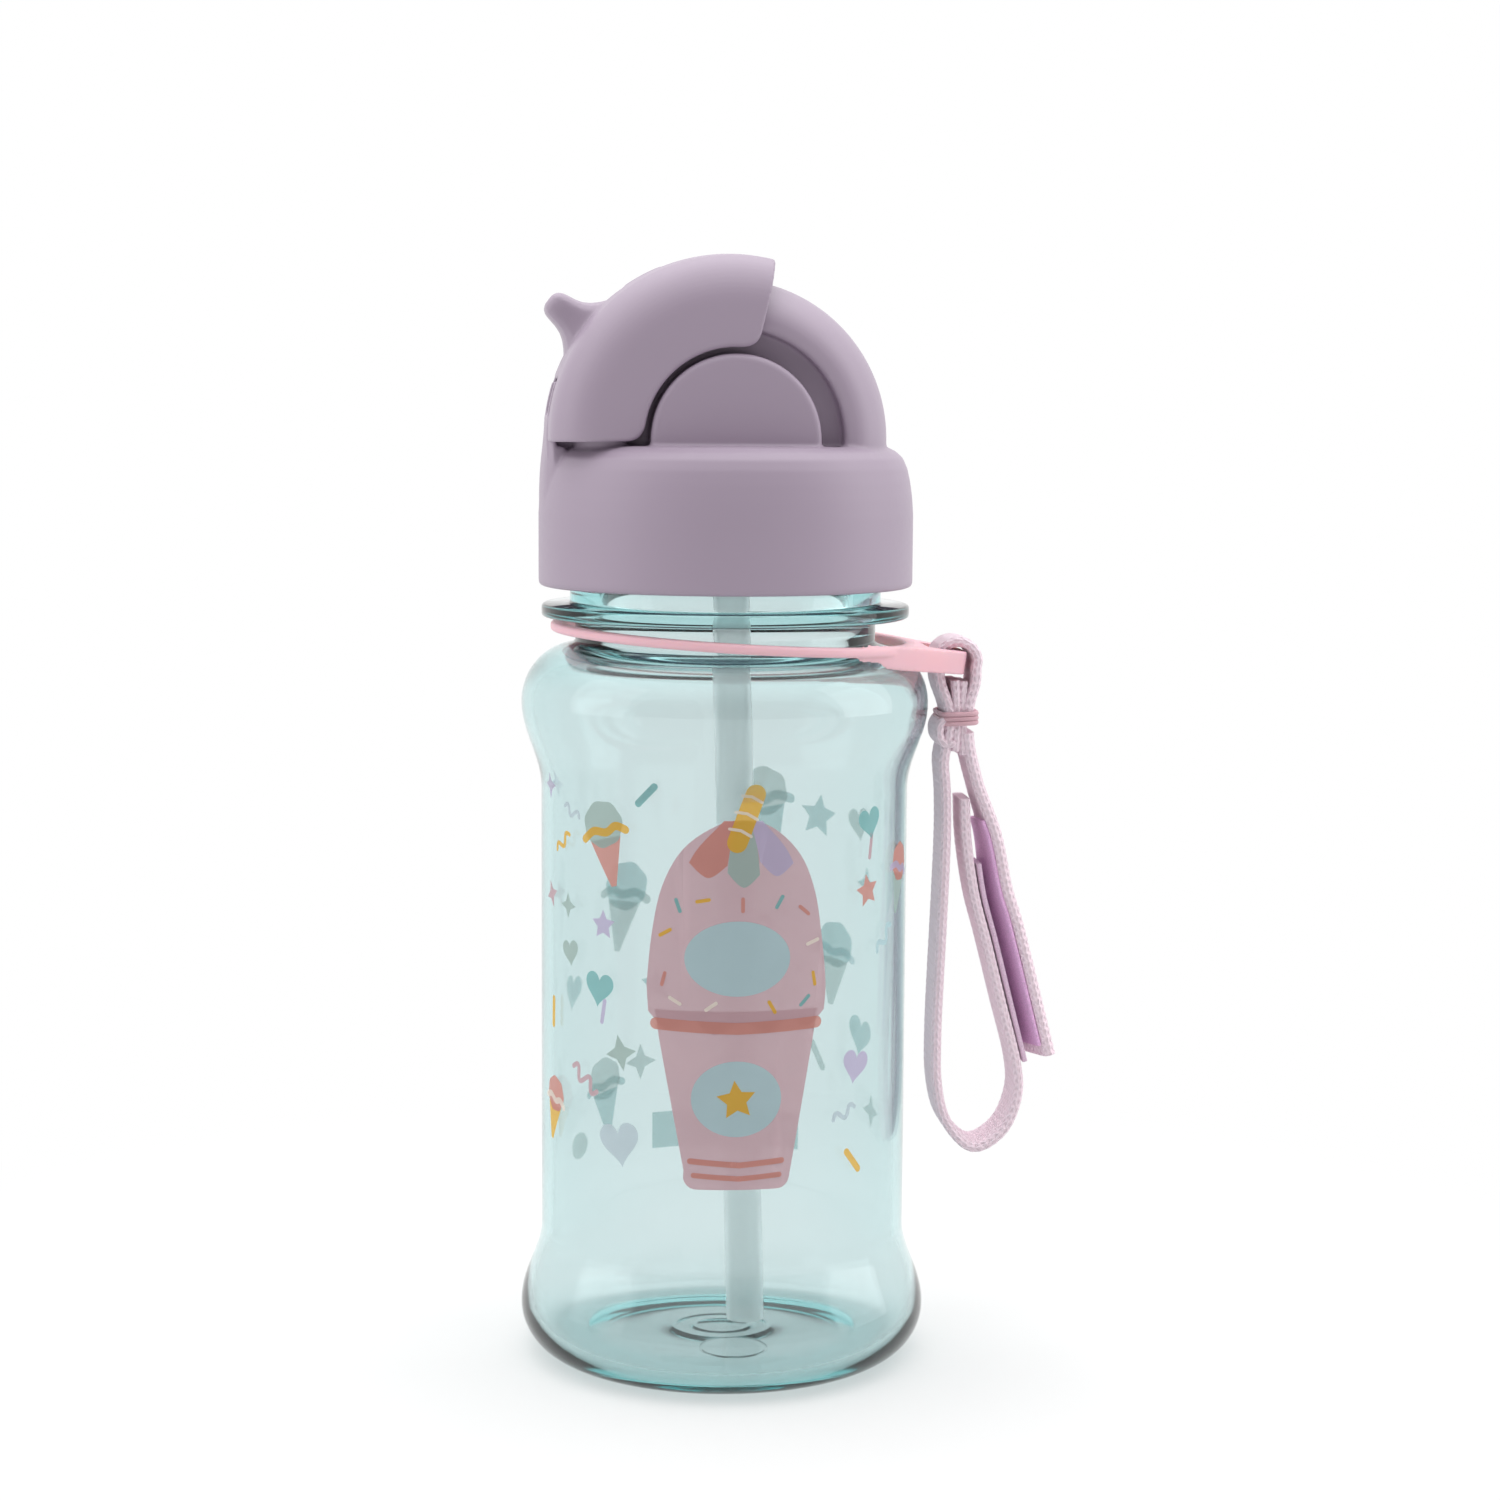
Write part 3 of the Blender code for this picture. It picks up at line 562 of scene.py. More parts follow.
outer += [(27.5, 132.0), (27.05, 132.2), (26.9, 132.6), (26.9, 147.0), (26.7, 147.4), (26.3, 147.5)]
inner = [(0.0, 3.8), (14.0, 3.7), (24.9, 3.35)]
inner += arc((27.3, 9.3), 6.4, -72, 0, 14)
inner += ease(33.7, 30.0, 9.3, 23.0, 16)[1:]
inner += [(INNER_WAIST_R, 28 + 4 * k) for k in range(18)]
inner += ease(INNER_WAIST_R, INNER_SHOULDER_R, 100.0, 115.0, 16)
inner += [
    (24.1 + 9.3 * math.cos(math.pi * k / 36), SHOULDER_Z + 8.1 * math.sin(math.pi * k / 36))
    for k in range(1, 17)]
inner += [(24.1, 123.4), (24.1, 126.5), (24.9, 127.6), (24.9, 147.1), (25.3, 147.5)]
bottle = lathe("bottle_shell", outer + inner[::-1], tritan.made, steps=160, smooth=50)


def thread(name, root_r, crest_r, root_w, crest_w, first, start_at):
    inward = 1 if crest_r > root_r else -1
    count, sections = 60, []
    for step in range(count + 1):
        share = step / count
        fade = min(1.0, 9 * share + 0.15, 9 * (1 - share) + 0.15)
        angle = math.radians(start_at + 217.0 * share)
        level = first + 10.0 * 217.0 * share / 360
        tip = root_r + (crest_r - root_r) * fade
        back = root_r - inward * 0.7
        profile = ((back, -root_w / 2), (tip, -crest_w / 2), (tip, crest_w / 2), (back, root_w / 2))
        sections.append([
            (radius * math.cos(angle), radius * math.sin(angle), level + rise)
            for radius, rise in profile])
    return loft(name, sections)


# A shallow circle is moulded under the base, towards the front.
groove = lathe(
    "groove", [(5.4, 0.9), (5.9, 0.9), (5.9, 1.68), (5.4, 1.68)], steps=64, centre=(0.8, -14.5))
combine(bottle, groove, "DIFFERENCE")
for start in range(2):
    combine(bottle, thread("ridge", 26.9, 28.1, 2.2, 1.2, 136.0, 180.0 * start + 2.3), "UNION")
bottle.data.shade_smooth()
bottle.data.set_sharp_from_angle(angle=math.radians(50))
bottle.visible_shadow = False
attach(bottle, "bottle")
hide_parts("bottle_body")

# ------------------------------------------------------------------ printed motifs

PRINT_R = 31.87
INKS = {
    "pink": "c3a2a9", "coral": "cd8f85", "sage": "a4b8b2", "teal": "7fb5b5", "mustard": "e0b145",
    "lilac": "bcb2cd", "pale": "b4d0d5", "grey": "bccad1", "cream": "e6ddd2",
}
prints = {}


def blob(cx, cz, rx, rz, turn=0.0, bumps=0, depth=0.0, count=48, phase=0.0):
    """An ellipse, or a scalloped one."""
    t = math.radians(turn)
    found = []
    for k in range(count):
        a = 2 * math.pi * k / count
        r = 1 + depth * math.cos(bumps * a + phase)
        x, z = rx * r * math.cos(a), rz * r * math.sin(a)
        found.append((cx + x * math.cos(t) - z * math.sin(t), cz + x * math.sin(t) + z * math.cos(t)))
    return found


def moved(shape, cx, cz, size, turn=0.0):
    t = math.radians(turn)
    return [(cx + size * (x * math.cos(t) - z * math.sin(t)), cz + size * (x * math.sin(t) + z * math.cos(t)))
            for x, z in shape]


def star(points, inner, cx, cz, size, turn=0.0):
    shape = []
    for k in range(points * 2):
        r = 1.0 if k % 2 == 0 else inner
        a = math.pi / 2 + math.pi * k / points
        shape.append((r * math.cos(a), r * math.sin(a)))
    return moved(shape, cx, cz, size, turn)


def heart(cx, cz, size, turn=0.0):
    shape = []
    for k in range(40):
        a = 2 * math.pi * k / 40
        shape.append((
            0.95 * math.sin(a) ** 3,
            (13 * math.cos(a) - 5 * math.cos(2 * a) - 2 * math.cos(3 * a) - math.cos(4 * a)) / 16))
    return moved(shape, cx, cz, size, turn)


def stroke(points, wide):
    """A line of even width with round ends."""
    left, right = [], []
    for (x, z), (nx, nz) in zip(points, normals_of(points)):
        left.append((x + nx * wide / 2, z + nz * wide / 2))
        right.append((x - nx * wide / 2, z - nz * wide / 2))
    (ax, az), (bx, bz) = points[-2], points[-1]
    tip = math.degrees(math.atan2(bz - az, bx - ax))
    (cx, cz), (dx, dz) = points[1], points[0]
    tail = math.degrees(math.atan2(dz - cz, dx - cx))
    return (left + arc(points[-1], wide / 2, tip + 80, tip - 80, 8) + right[::-1]
            + arc(points[0], wide / 2, tail + 80, tail - 80, 8))


def bar(cx, cz, long, wide, turn):
    t = math.radians(turn)
    dx, dz = math.cos(t) * long / 2, math.sin(t) * long / 2
    return stroke([(cx - dx, cz - dz), (cx, cz), (cx + dx, cz + dz)], wide)


def squiggle(cx, cz, long, high, waves, wide, turn=0.0):
    t = math.radians(turn)
    line = []
    for k in range(25):
        x = long * (k / 24 - 0.5)
        z = high * math.sin(2 * math.pi * waves * k / 24)
        line.append((cx + x * math.cos(t) - z * math.sin(t), cz + x * math.sin(t) + z * math.cos(t)))
    return stroke(line, wide)


def ink(colour, turn, level, shapes, layer=0):
    """Stores outlines, in mm about the print's own centre at (turn, level), for one ink."""
    centre = math.radians(turn) * PRINT_R
    # Prints on the far half of the bottle go to separate back_ inks with less cover: painted backlight, so
    # they read paler against the light behind.
    colour = colour if abs(turn) < 92 else "back_" + colour
    for shape in shapes:
        prints.setdefault(colour, []).append(([(centre + x, level + z) for x, z in shape], layer))


def cone(turn, level, tilt, size, scoop, wave, tip):
    """A small ice cream: scoop, dripping wave and pointed cone."""
    ink(tip, turn, level, [moved([(-0.62, 0.0), (0.62, 0.0), (0.1, -1.5), (-0.1, -1.5)], 0, 0, size, tilt)])
    ink(scoop, turn, level, [moved(blob(0, 0.45, 0.78, 0.72, bumps=7, depth=0.03), 0, 0, size, tilt)], 1)
    drip = [(-0.85, 0.12), (-0.4, 0.3), (0.1, 0.18), (0.5, 0.32), (0.85, 0.14)]
    ink(wave, turn, level, [moved(stroke(smooth_path(drip, 5), 0.26), 0, 0, size, tilt)], 2)


cone(-43.5, 94.2, 14, 5.4, "sage", "mustard", "coral")
cone(-70.0, 46.5, -10, 4.2, "coral", "cream", "mustard")
cone(65.0, 86.5, -14, 4.6, "coral", "lilac", "sage")
for turn, level, colour, shapes in (
    (-28.8, 102.1, "teal", [bar(0, 0, 4.2, 1.25, 45)]),
    (-63.8, 92.4, "mustard", [squiggle(0, 0, 5.2, 0.75, 1.5, 0.75, 35)]),
    (-58.7, 97.9, "grey", [squiggle(0, 0, 4.6, 0.7, 1.5, 0.7, -20)]),
    (-73.0, 101.6, "lilac", [star(4, 0.42, 0, 0, 2.4)]),
    (-72.0, 82.9, "pink", [star(4, 0.42, 0, 0, 2.4, 20)]),
    (-60.7, 81.8, "sage", [star(4, 0.42, 0, 0, 2.3)]),
    (-59.5, 74.0, "sage", [heart(0, 0, 2.5, 8)]),
    (-45.9, 68.9, "teal", [heart(0, 0, 3.3, -6)]),
    (-44.1, 64.9, "lilac", [bar(0, 0, 3.6, 0.8, 80)]),
    (-70.6, 62.6, "mustard", [bar(0, 0, 4.4, 1.2, 88)]),
    (-37.5, 58.3, "sage", [star(4, 0.45, 0, 0, 3.1, 12)]),
    (-52.2, 52.7, "pink", [squiggle(0, 0, 7.0, 1.1, 2, 0.85, -30)]),
    (-38.0, 43.1, "grey", [heart(0, 0, 4.2, 10)]),
    (-44.2, 79.6, "lilac", [star(5, 0.5, 0, 0, 2.6)]),
    (45.2, 95.9, "teal", [heart(0, 0.8, 3.0, 10)]),
    (45.2, 95.9, "pink", [bar(0.3, -3.4, 3.8, 0.8, 82)]),
    (44.4, 85.0, "coral", [star(5, 0.5, 0, 0, 2.9, 10)]),
    (54.0, 76.2, "pale", [squiggle(0, 0, 6.0, 0.9, 1.5, 0.9, 40)]),
    (39.6, 55.6, "lilac", [heart(0, 0, 3.2, -12)]),
    (38.6, 39.2, "mustard", [bar(0, 0, 4.4, 1.2, -50)]),
    (35.0, 47.6, "grey", [squiggle(0, 0, 5.0, 0.8, 1.5, 0.8, 20)]),
    (140.5, 91.5, "teal", [star(5, 0.5, 0, 0, 4.2, 8)]),
    (-161.5, 59.5, "teal", [star(5, 0.5, 0, 0, 3.6)]),
    (-155.0, 45.2, "sage", [star(4, 0.42, 0, 0, 3.4)]),
    (110.9, 39.2, "sage", [star(4, 0.42, 0, 0, 3.2)]),
    (115.7, 80.4, "teal", [star(4, 0.42, 0, 0, 3.2)]),
    (118.8, 52.6, "teal", [heart(0, 0, 4.0, 10)]),
    (120.8, 91.3, "sage", [heart(0, 0, 3.4, -8)]),
    (140.2, 47.0, "sage", [bar(0, 0, 5.0, 1.4, 60)]),
    (-120.0, 61.2, "teal", [heart(0, 0, 3.6, 12)]),
    (-124.6, 32.1, "sage", [blob(0, 0, 3.0, 2.4)]),
    (165.0, 72.0, "sage", [squiggle(0, 0, 8.0, 1.2, 1.5, 1.2, 30)]),
):
    ink(colour, turn, level, shapes)
cone(-147.9, 75.6, 10, 6.2, "teal", "sage", "sage")
cone(160.8, 92.6, -12, 6.4, "sage", "teal", "teal")
cone(133.0, 65.5, 6, 5.8, "teal", "pale", "sage")
cone(-139.4, 40.7, -8, 5.4, "sage", "teal", "teal")
strip_half = math.radians(26.3) * PRINT_R
ink("teal", 174.0, 31.9, [[(-strip_half, -3.4), (strip_half, -3.4), (strip_half, 3.4), (-strip_half, 3.4)]])

scoop = [(-15.6, 66.0)] + smooth_path(
    [(-15.9, 70.5), (-15.0, 79.0), (-13.2, 87.0), (-9.6, 93.4), (-4.0, 97.4), (0.6, 98.3), (5.4, 97.0),
     (10.2, 92.4), (13.0, 86.0), (14.4, 78.0), (15.2, 70.5), (14.9, 66.0)], 5)
scoop += smooth_path(
    [(14.9, 66.0), (11.6, 63.4), (8.2, 65.0), (4.6, 62.6), (0.4, 64.6),
     (-4.2, 62.4), (-8.4, 65.0), (-12.0, 63.0), (-15.6, 66.0)], 4)[1:-1]
ink("pink", 0, 0, [scoop], 1)
for colour, low, high, foot in (
    ("coral", -8.6, -2.2, 89.6), ("sage", -2.2, 3.2, 88.0), ("lilac", 3.2, 9.0, 89.8),
):
    top_low, top_high = low * 0.36 + 0.3, high * 0.36 + 0.3
    ink(colour, 0, 0, [
        smooth_path([(top_low, 98.2), (low * 0.8 + 0.1, 94.0), (low, foot + 1.6)], 4)
        + smooth_path([(low, foot + 1.6), ((low + high) / 2, foot - 0.9), (high, foot + 1.2)], 6)[1:]
        + smooth_path([(high, foot + 1.2), (high * 0.8 + 0.1, 94.0), (top_high, 98.2)], 4)[1:]], 2)
ink("mustard", 0, 0, [stroke([(-0.6, 94.6), (0.9, 98.6), (2.4, 102.6)], 3.4)], 4)
ink("cream", 0, 0, [
    stroke([(-1.9, 96.9), (0.0, 96.6), (1.7, 95.6)], 0.5),
    stroke([(-0.9, 99.7), (1.0, 99.4), (2.7, 98.4)], 0.5),
    stroke([(0.2, 102.4), (1.8, 102.2), (3.5, 101.2)], 0.5)], 5)
ink("pale", 0, 0, [blob(-0.4, 75.2, 8.9, 6.3)], 3)
cup = [(-14.4, 66.4), (-13.6, 61.4), (-9.3, 39.4)] + arc((-7.2, 38.4), 2.2, 190, 270, 6)
cup += arc((6.4, 38.4), 2.2, -90, -10, 6) + [(12.8, 61.4), (13.6, 66.4)]
ink("pink", 0, 0, [cup], 0)
ink("coral", 0, 0, [stroke([(-14.2, 64.0), (-0.4, 63.5), (13.4, 64.0)], 2.0)], 4)
ink("pale", 0, 0, [blob(-0.5, 51.6, 7.6, 6.4)], 2)
ink("mustard", 0, 0, [star(5, 0.5, -0.5, 51.4, 3.4, 6)], 4)
ink("coral", 0, 0, [
    stroke([(-8.2, 41.0), (0, 40.4), (7.2, 41.0)], 1.0),
    stroke([(-7.6, 38.6), (0, 38.1), (6.8, 38.6)], 0.9)], 4)
sprinkles = {"mustard": [], "teal": [], "coral": [], "cream": []}
for k, (x, z, lean) in enumerate((
    (-12.6, 79.4, 30), (-10.4, 84.0, 110), (-12.9, 71.6, 75), (-10.9, 68.0, 150), (-6.2, 84.9, 10),
    (6.6, 84.6, 60), (11.0, 83.0, 140), (12.6, 77.6, 20), (12.9, 71.4, 100), (11.2, 67.8, 45),
    (0.4, 84.2, 90), (-4.8, 67.2, 35), (5.4, 67.0, 120),
)):
    sprinkles[("mustard", "teal", "coral", "cream")[k % 4]].append(bar(x, z, 2.0, 0.62, lean))
for colour, shapes in sprinkles.items():
    ink(colour, 0, 0, shapes, 4)


# BACK_COVER makes the far-side prints fainter than the front ones: painted backlight washing out the inks
# seen through the bottle.
FRONT_COVER, BACK_COVER = 0.88, 0.5
INK_GLOW = 0.3
INK_LAYER = 0.012
STRIP_WIDE = 1.6


def ink_look(name, colour, cover_strength):
    """Printed ink, which hides the bottle by cover_strength and lets some light through."""
    look = Look(name, colour, 0.5, Alpha=cover_strength, Specular_IOR_Level=0.35)
    look.tint(look.noise(160, 2), 0.98, 1.02)
    look.rough(look.noise(300), 0.42, 0.6)
    look.bump(look.noise(2400, 2), 0.1, 0.0001)
    glow = look.node("BsdfTranslucent")
    glow.inputs["Color"].default_value = (*colour, 1)
    veil = look.node("MixShader")
    veil.inputs["Fac"].default_value = INK_GLOW * cover_strength
    look.link(look.shader.outputs[0], veil.inputs[1])
    look.link(glow.outputs[0], veil.inputs[2])
    look.link(veil.outputs[0], look.nodes["Material Output"].inputs["Surface"])
    return look.made


def wrap(name, shapes, look):
    """Flat outlines, sliced into narrow upright strips and wrapped round the bottle."""
    shell = bmesh.new()
    for outline, layer in shapes:
        lift = INK_LAYER * layer
        corners = [shell.verts.new((x, lift, z)) for x, z in outline]
        shell.faces.new(corners)
    low = min(x for outline, _ in shapes for x, _ in outline)
    high = max(x for outline, _ in shapes for x, _ in outline)
    place = math.floor(low / STRIP_WIDE) * STRIP_WIDE
    while place < high:
        bmesh.ops.bisect_plane(
            shell, geom=shell.verts[:] + shell.edges[:] + shell.faces[:],
            plane_co=(place, 0, 0), plane_no=(1, 0, 0))
        place += STRIP_WIDE
    bmesh.ops.triangulate(shell, faces=shell.faces[:])
    for vertex in shell.verts:
        x, lift, z = vertex.co
        turn, radius = x / PRINT_R, PRINT_R + lift
        vertex.co = (radius * math.sin(turn) * MM, -radius * math.cos(turn) * MM, z * MM)
    for face in shell.faces:
        face.normal_update()
        mid = face.calc_center_median()
        if face.normal.x * mid.x + face.normal.y * mid.y < 0:
            face.normal_flip()
    mesh = bpy.data.meshes.new(name)
    shell.to_mesh(mesh)
    shell.free()
    mesh.materials.append(look)
    mesh.shade_smooth()
    made = bpy.data.objects.new(name, mesh)
    scene.collection.objects.link(made)
    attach(made, "bottle")
    return made


for colour, shapes in prints.items():
    faint = colour.startswith("back_")
    shade = srgb(INKS[colour.removeprefix("back_")])
    strength = BACK_COVER if faint else FRONT_COVER
    wrap("print_" + colour, shapes, ink_look("ink_" + colour, shade, strength))

# ------------------------------------------------------------------ lid housing

PIVOT = (0.0, 160.3)
COLLAR_R = 32.3
WELL_HALF = 5.4
collar = [(0.0, 159.2), (25.6, 159.2)]
collar += [(27.0, 159.15), (28.0, 158.9), (29.2, 158.3), (30.4, 157.2), (31.2, 155.4), (31.7, 153.2)]
collar += [(32.1, 150.4), (COLLAR_R, 147.5), (COLLAR_R, 136.0)]
collar += arc((31.5, 135.8), 0.8, 0, -90, 4)
collar += [(30.6, 135.0), (30.6, 153.6), (28.4, 156.4), (0.0, 156.4)]
housing = lathe("lid_shell", collar, steps=160)
half = [(0.0, -20.4), (13.6, -20.4), (14.25, -19.75), (14.25, -14.5), (18.3, -14.5)]
half += [(18.3, -17.4), (18.8, -18.0)]
for a in range(6, 91, 6):
    lean = math.radians(a)
    half.append((19.6 + 7.4 * math.sin(lean), -4.0 - 14.0 * math.cos(lean)))
drum = lathe("drum", half + [(r, -y) for r, y in half[::-1]], steps=160, along="Y", centre=PIVOT)
floor_cut = prism("floor_cut", [(-40, 120), (40, 120), (40, 158.6), (-40, 158.6)], -30, 30)
combine(drum, floor_cut, "DIFFERENCE")
combine(housing, drum, "UNION")


def sector(name, section_at, start, end, count):
    """Sweeps a (radius, y) section about the cover's hinge line between two polar angles."""
    sections = []
    for step in range(count + 1):
        angle = start + (end - start) * step / count
        c, s = math.cos(math.radians(angle)), math.sin(math.radians(angle))
        sections.append([(r * c, y, PIVOT[1] + r * s) for r, y in section_at(angle)])
    return loft(name, sections)


lip = sector("lip", lambda a: [(29.3, -8), (31.2, -8), (31.2, 8), (29.3, 8)], 162, 186, 16)
combine(housing, lip, "UNION")
lip_root = sector("lip_root", lambda a: [(26.6, -8), (31.1, -8), (31.1, 8), (26.6, 8)], 174, 190, 8)
combine(housing, lip_root, "UNION")
flare = [(-28.0, 148.0), (-32.2, 148.0), (-32.2, 151.0), (-32.1, 154.0), (-31.9, 156.5), (-31.6, 159.0)]
flare += [(-31.35, 161.5), (-31.2, 164.0), (-29.6, 164.0), (-29.6, 159.0), (-28.0, 159.0)]
rows = []
for k in range(17):
    y = -10.0 + 20.0 * k / 16
    inset = COLLAR_R - math.sqrt(COLLAR_R ** 2 - y * y) + 0.9 * max(0.0, (abs(y) - 6.0) / 4.0) ** 2
    rows.append([(x + inset * min(1.0, (166.0 - z) / 12.0 if x < -29.9 else 0.0), y, z) for x, z in flare])
combine(housing, loft("flare", rows), "UNION")
SPOUT = (2.0, 170.0)
open_turn = math.radians(133)
corner = (SPOUT[0] + 4 * math.cos(open_turn - math.pi / 2), SPOUT[1] + 4 * math.sin(open_turn - math.pi / 2))
far = (corner[0] + 40 * math.cos(open_turn), corner[1] + 40 * math.sin(open_turn))
well = [(6.9, 158), (6.9, 170), (corner[0] + 0.4, corner[1] + 0.4), far, (-40, far[1])]
well += [(-40, 164.2), (-27.2, 164.2), (-27.2, 158)]
combine(housing, prism("well", well, -WELL_HALF, WELL_HALF), "DIFFERENCE")
hole = lathe("hole", [(0, 150), (4.6, 150), (4.6, 162), (0, 162)], steps=48, centre=(SPOUT[0], 0))
combine(housing, hole, "DIFFERENCE")
air = lathe("air", [(0, 150), (1.2, 150), (1.2, 162), (0, 162)], steps=32, centre=(-14, 0))
combine(housing, air, "DIFFERENCE")
mould(housing, 0.33, 5, cap)
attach(housing, "lid")
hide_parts("lid_housing")

# ------------------------------------------------------------------ cover


COVER_START, COVER_END = 77.0, 181.0
TAB_AT = 142.6


def cover_section(angle):
    """The cover's (radius, y) section, its inner edge curving outwards near both ends."""
    from_end = min(angle - COVER_START, COVER_END - angle)
    run = math.radians(max(from_end, 0.0)) * 16.0
    lift = 0.0
    if run < 3.0:
        lift = 3.0 - math.sqrt(9.0 - (3.0 - run) ** 2)
    edge = 15.3 + lift * 0.8
    rail = max(17.8, edge + 0.4)
    outline = [(edge, 15.0), (edge, 19.8), (edge + 0.6, 20.4)] + arc((22.3, 11.9), 8.5, 90, 0, 14)
    outline.append((31.18, 6.0))
    outline += [(r, -y) for r, y in outline[::-1]]
    inside = [(rail, 15.0), (rail, 18.4)] + arc((22.3, 11.9), 6.5, 90, 0, 10)
    return outline + [(r, -y) for r, y in inside] + inside[::-1]


cover = sector("cover_shell", cover_section, COVER_START, COVER_END, 90)
notch = sector("notch", lambda a: [(27.5, -8.5), (33.5, -8.5), (33.5, 8.5), (27.5, 8.5)], 160.8, 186, 16)
combine(cover, notch, "DIFFERENCE")
tab_turn = math.radians(TAB_AT)
out = (math.cos(tab_turn), math.sin(tab_turn))
aside = (-out[1], out[0])
tab_rows = []
for reach, thick, wide in (
    (29.0, 14.6, 15.6), (30.4, 12.4, 14.6), (31.4, 10.0, 13.8), (32.4, 8.0, 13.2), (33.6, 6.4, 12.7),
    (35.0, 5.5, 12.4), (36.4, 5.0, 12.1), (37.4, 4.5, 11.6), (38.1, 3.5, 10.6), (38.5, 1.8, 8.8),
):
    ring = []
    for k in range(24):
        a = 2 * math.pi * k / 24
        c, s = math.cos(a), math.sin(a)
        power = (abs(c) ** 4 + abs(s) ** 4) ** (-1 / 4)
        t, w = c * thick / 2 * power, s * wide / 2 * power
        ring.append((out[0] * reach + aside[0] * t, w, PIVOT[1] + out[1] * reach + aside[1] * t))
    tab_rows.append(ring)
combine(cover, loft("tab", tab_rows), "UNION")
badge = sector("badge", lambda a: [(30.3, -3.2), (31.34, -3.2), (31.34, 3.2), (30.3, 3.2)], 112, 124, 8)
combine(cover, badge, "UNION")
mould(cover, 0.28, 5, cap)
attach(cover, "cover")
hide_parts("slide_cover")

# ------------------------------------------------------------------ spout and straw

paint("spout_tip", milky)
STRAW_R, STRAW_BORE, STRAW_TOP = 3.3, 2.4, 148.0
levels = [4.5 + 1.435 * k for k in range(101)]
tube = [(STRAW_R, z) for z in levels] + [(STRAW_BORE, z) for z in levels[::-1]]
straw = lathe("straw_tube", tube, straw_look.made, steps=48)
for vertex in straw.data.vertices:
    drop = max(0.0, STRAW_TOP - vertex.co.z / MM)
    bend = 1.2 * min(1.0, drop / 14.0) ** 1.5
    vertex.co.x += (SPOUT[0] - bend + 3.4 * max(0.0, drop - 10.0) / 133.5) * MM
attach(straw, "lid")
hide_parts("straw")

# ------------------------------------------------------------------ strap ring


def tilted(points, angle, centre):
    c, s = math.cos(math.radians(angle)), math.sin(math.radians(angle))
    return [(
        centre[0] + (x - centre[0]) * c + (z - centre[1]) * s, y,
        centre[1] - (x - centre[0]) * s + (z - centre[1]) * c) for x, y, z in points]


RING_MID_R, RING_HALF_WIDE, RING_HALF_THICK = 30.65, 1.25, 0.85
RING_X, RING_Z, RING_TILT = 1.6, 126.3, 3.2
LUG_ROOT, LUG_Z, LUG_TILT = 26.5, 123.7, 8.0
SLOT_IN, SLOT_OUT, SLOT_HALF = 34.8, 38.85, 5.7

ring_rows = []
for step in range(144):
    turn = 2 * math.pi * step / 144
    c, s = math.cos(turn), math.sin(turn)
    section = []
    for k in range(16):
        a = 2 * math.pi * (k + 0.5) / 16
        section.append((
            RING_MID_R + RING_HALF_WIDE * math.copysign(abs(math.cos(a)) ** 0.5, math.cos(a)),
            RING_HALF_THICK * math.copysign(abs(math.sin(a)) ** 0.5, math.sin(a))))
    level_ring = [(RING_X + r * c, r * s, RING_Z + z) for r, z in section]
    ring_rows.append(tilted(level_ring, RING_TILT, (RING_X, RING_Z)))
neck_ring = loft("neck_ring", ring_rows, closed=True)
lug = [(18.4, -25.8), (20.8, -24.6)] + arc((37.4, -3.4), 4.3, -48, 0, 8)
lug += [(x, -y) for x, y in lug[::-1]]
for under, over, start_r in ((0.85, 0.85, 32.0), (1.8, 2.2, 32.3)):
    rows = []
    for rise in (-under, over):
        flat = [(x, y, LUG_Z + rise) for x, y in lug]
        rows.append(tilted(flat, LUG_TILT, (LUG_ROOT, LUG_Z)))
    plate = loft("plate", rows)
    trim = lathe("trim", [(0, 100), (start_r, 100), (start_r, 145), (0, 145)], steps=160)
    combine(plate, trim, "DIFFERENCE")
    combine(neck_ring, plate, "UNION")
slot = [(SLOT_IN, 110), (SLOT_OUT, 110), (SLOT_OUT, 140), (SLOT_IN, 140)]
slot_cut = prism("slot", slot, -SLOT_HALF, SLOT_HALF)
combine(neck_ring, slot_cut, "DIFFERENCE")
mould(neck_ring, 0.22, 4, pink)
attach(neck_ring, "ring")
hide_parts("strap_ring")

# ------------------------------------------------------------------ light, floor


def area_light(name, place, target, size, watts):
    data = bpy.data.lights.new(name, "AREA")
    data.shape = "RECTANGLE"
    data.size, data.size_y = size
    data.energy = watts
    light = bpy.data.objects.new(name, data)
    light.location = place
    light.rotation_euler = (Vector(target) - Vector(place)).to_track_quat("-Z", "Y").to_euler()
    scene.collection.objects.link(light)


FLOOR_REACH, FLOOR_Z = 2600.0, -0.05
HALO_START, HALO_END = 0.055, 0.20
PAPER_GLOW = 0.25
paper = Look("pale_floor", (0.5, 0.5, 0.5), 0.95, Specular_IOR_Level=0.0)
paper.tint(paper.noise(3), 0.998, 1.0)
paper.shader.inputs["Emission Color"].default_value = (1, 1, 1, 1)
paper.shader.inputs["Emission Strength"].default_value = PAPER_GLOW
spot = paper.node("TexCoord")
from_base = paper.node("VectorMath", operation="LENGTH")
paper.link(spot.outputs["Object"], from_base.inputs[0])
halo = paper.node("MapRange", interpolation_type="SMOOTHSTEP")
halo.inputs["From Min"].default_value = HALO_START
halo.inputs["From Max"].default_value = HALO_END
paper.link(from_base.outputs["Value"], halo.inputs["Value"])
lit = paper.node("Emission")
lit.inputs["Color"].default_value = (1, 1, 1, 1)
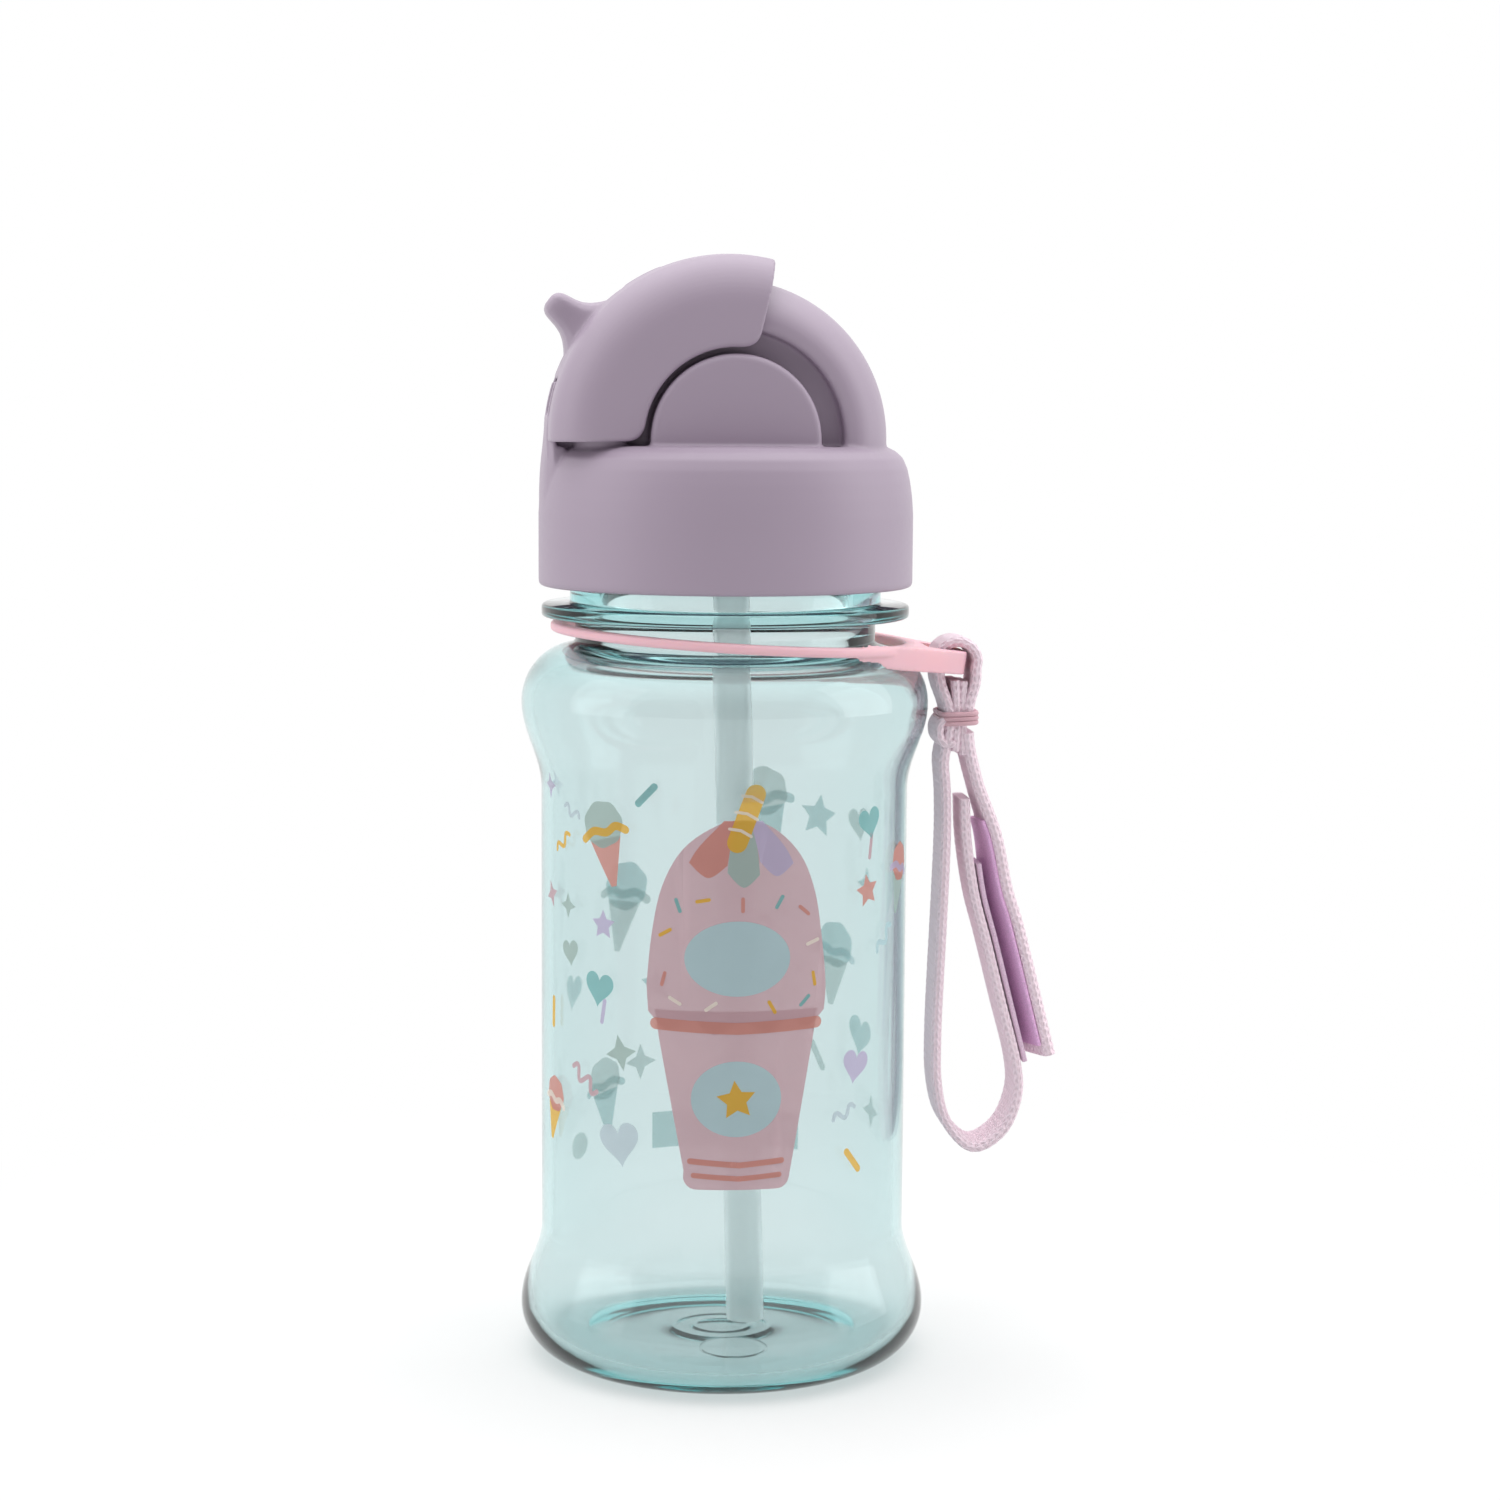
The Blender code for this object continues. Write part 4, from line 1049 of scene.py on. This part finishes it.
lit.inputs["Strength"].default_value = 1.0
blend = paper.node("MixShader")
paper.link(halo.outputs["Result"], blend.inputs["Fac"])
paper.link(paper.shader.outputs[0], blend.inputs[1])
paper.link(lit.outputs[0], blend.inputs[2])
paper.link(blend.outputs[0], paper.nodes["Material Output"].inputs["Surface"])
floor_corners = [(-1, -1), (1, -1), (1, 1), (-1, 1)]
floor = build(
    "floor", [(x * FLOOR_REACH, y * FLOOR_REACH, FLOOR_Z) for x, y in floor_corners],
    [(0, 1, 2, 3)], paper.made)

world = bpy.data.worlds.new("studio")
scene.world = world
world.use_nodes = True
sky = world.node_tree
gaze = sky.nodes.new("ShaderNodeTexCoord")
split_gaze = sky.nodes.new("ShaderNodeSeparateXYZ")
sky.links.new(gaze.outputs["Generated"], split_gaze.inputs[0])


def sky_ramp(axis, start, end, low, high):
    """Studio brightness rising from low to high along one axis of the direction looked in."""
    made = sky.nodes.new("ShaderNodeMapRange")
    made.interpolation_type = "SMOOTHSTEP"
    for socket, value in (("From Min", start), ("From Max", end), ("To Min", low), ("To Max", high)):
        made.inputs[socket].default_value = value
    sky.links.new(split_gaze.outputs[axis], made.inputs["Value"])
    return made.outputs["Result"]


ROOM_FRONT, ROOM_BACK, ROOM_TOP = 0.2, 1.0, 1.75
total = sky.nodes.new("ShaderNodeMath")
total.operation = "ADD"
sky.links.new(sky_ramp("Y", -0.95, 0.45, ROOM_FRONT, ROOM_BACK), total.inputs[0])
sky.links.new(sky_ramp("Z", 0.45, 0.98, 0.0, ROOM_TOP), total.inputs[1])
sky.links.new(total.outputs[0], sky.nodes["Background"].inputs["Strength"])
sky.nodes["Background"].inputs["Color"].default_value = (1, 1, 1, 1)
LIT_POINT, BOX_SIZE = (0, 0, 0.12), (0.7, 0.9)
area_light("left_box", (-0.9, -0.15, 0.45), LIT_POINT, BOX_SIZE, 2.0)
area_light("right_box", (0.9, -0.12, 0.45), LIT_POINT, BOX_SIZE, 2.8)
scene.view_settings.view_transform = "Standard"
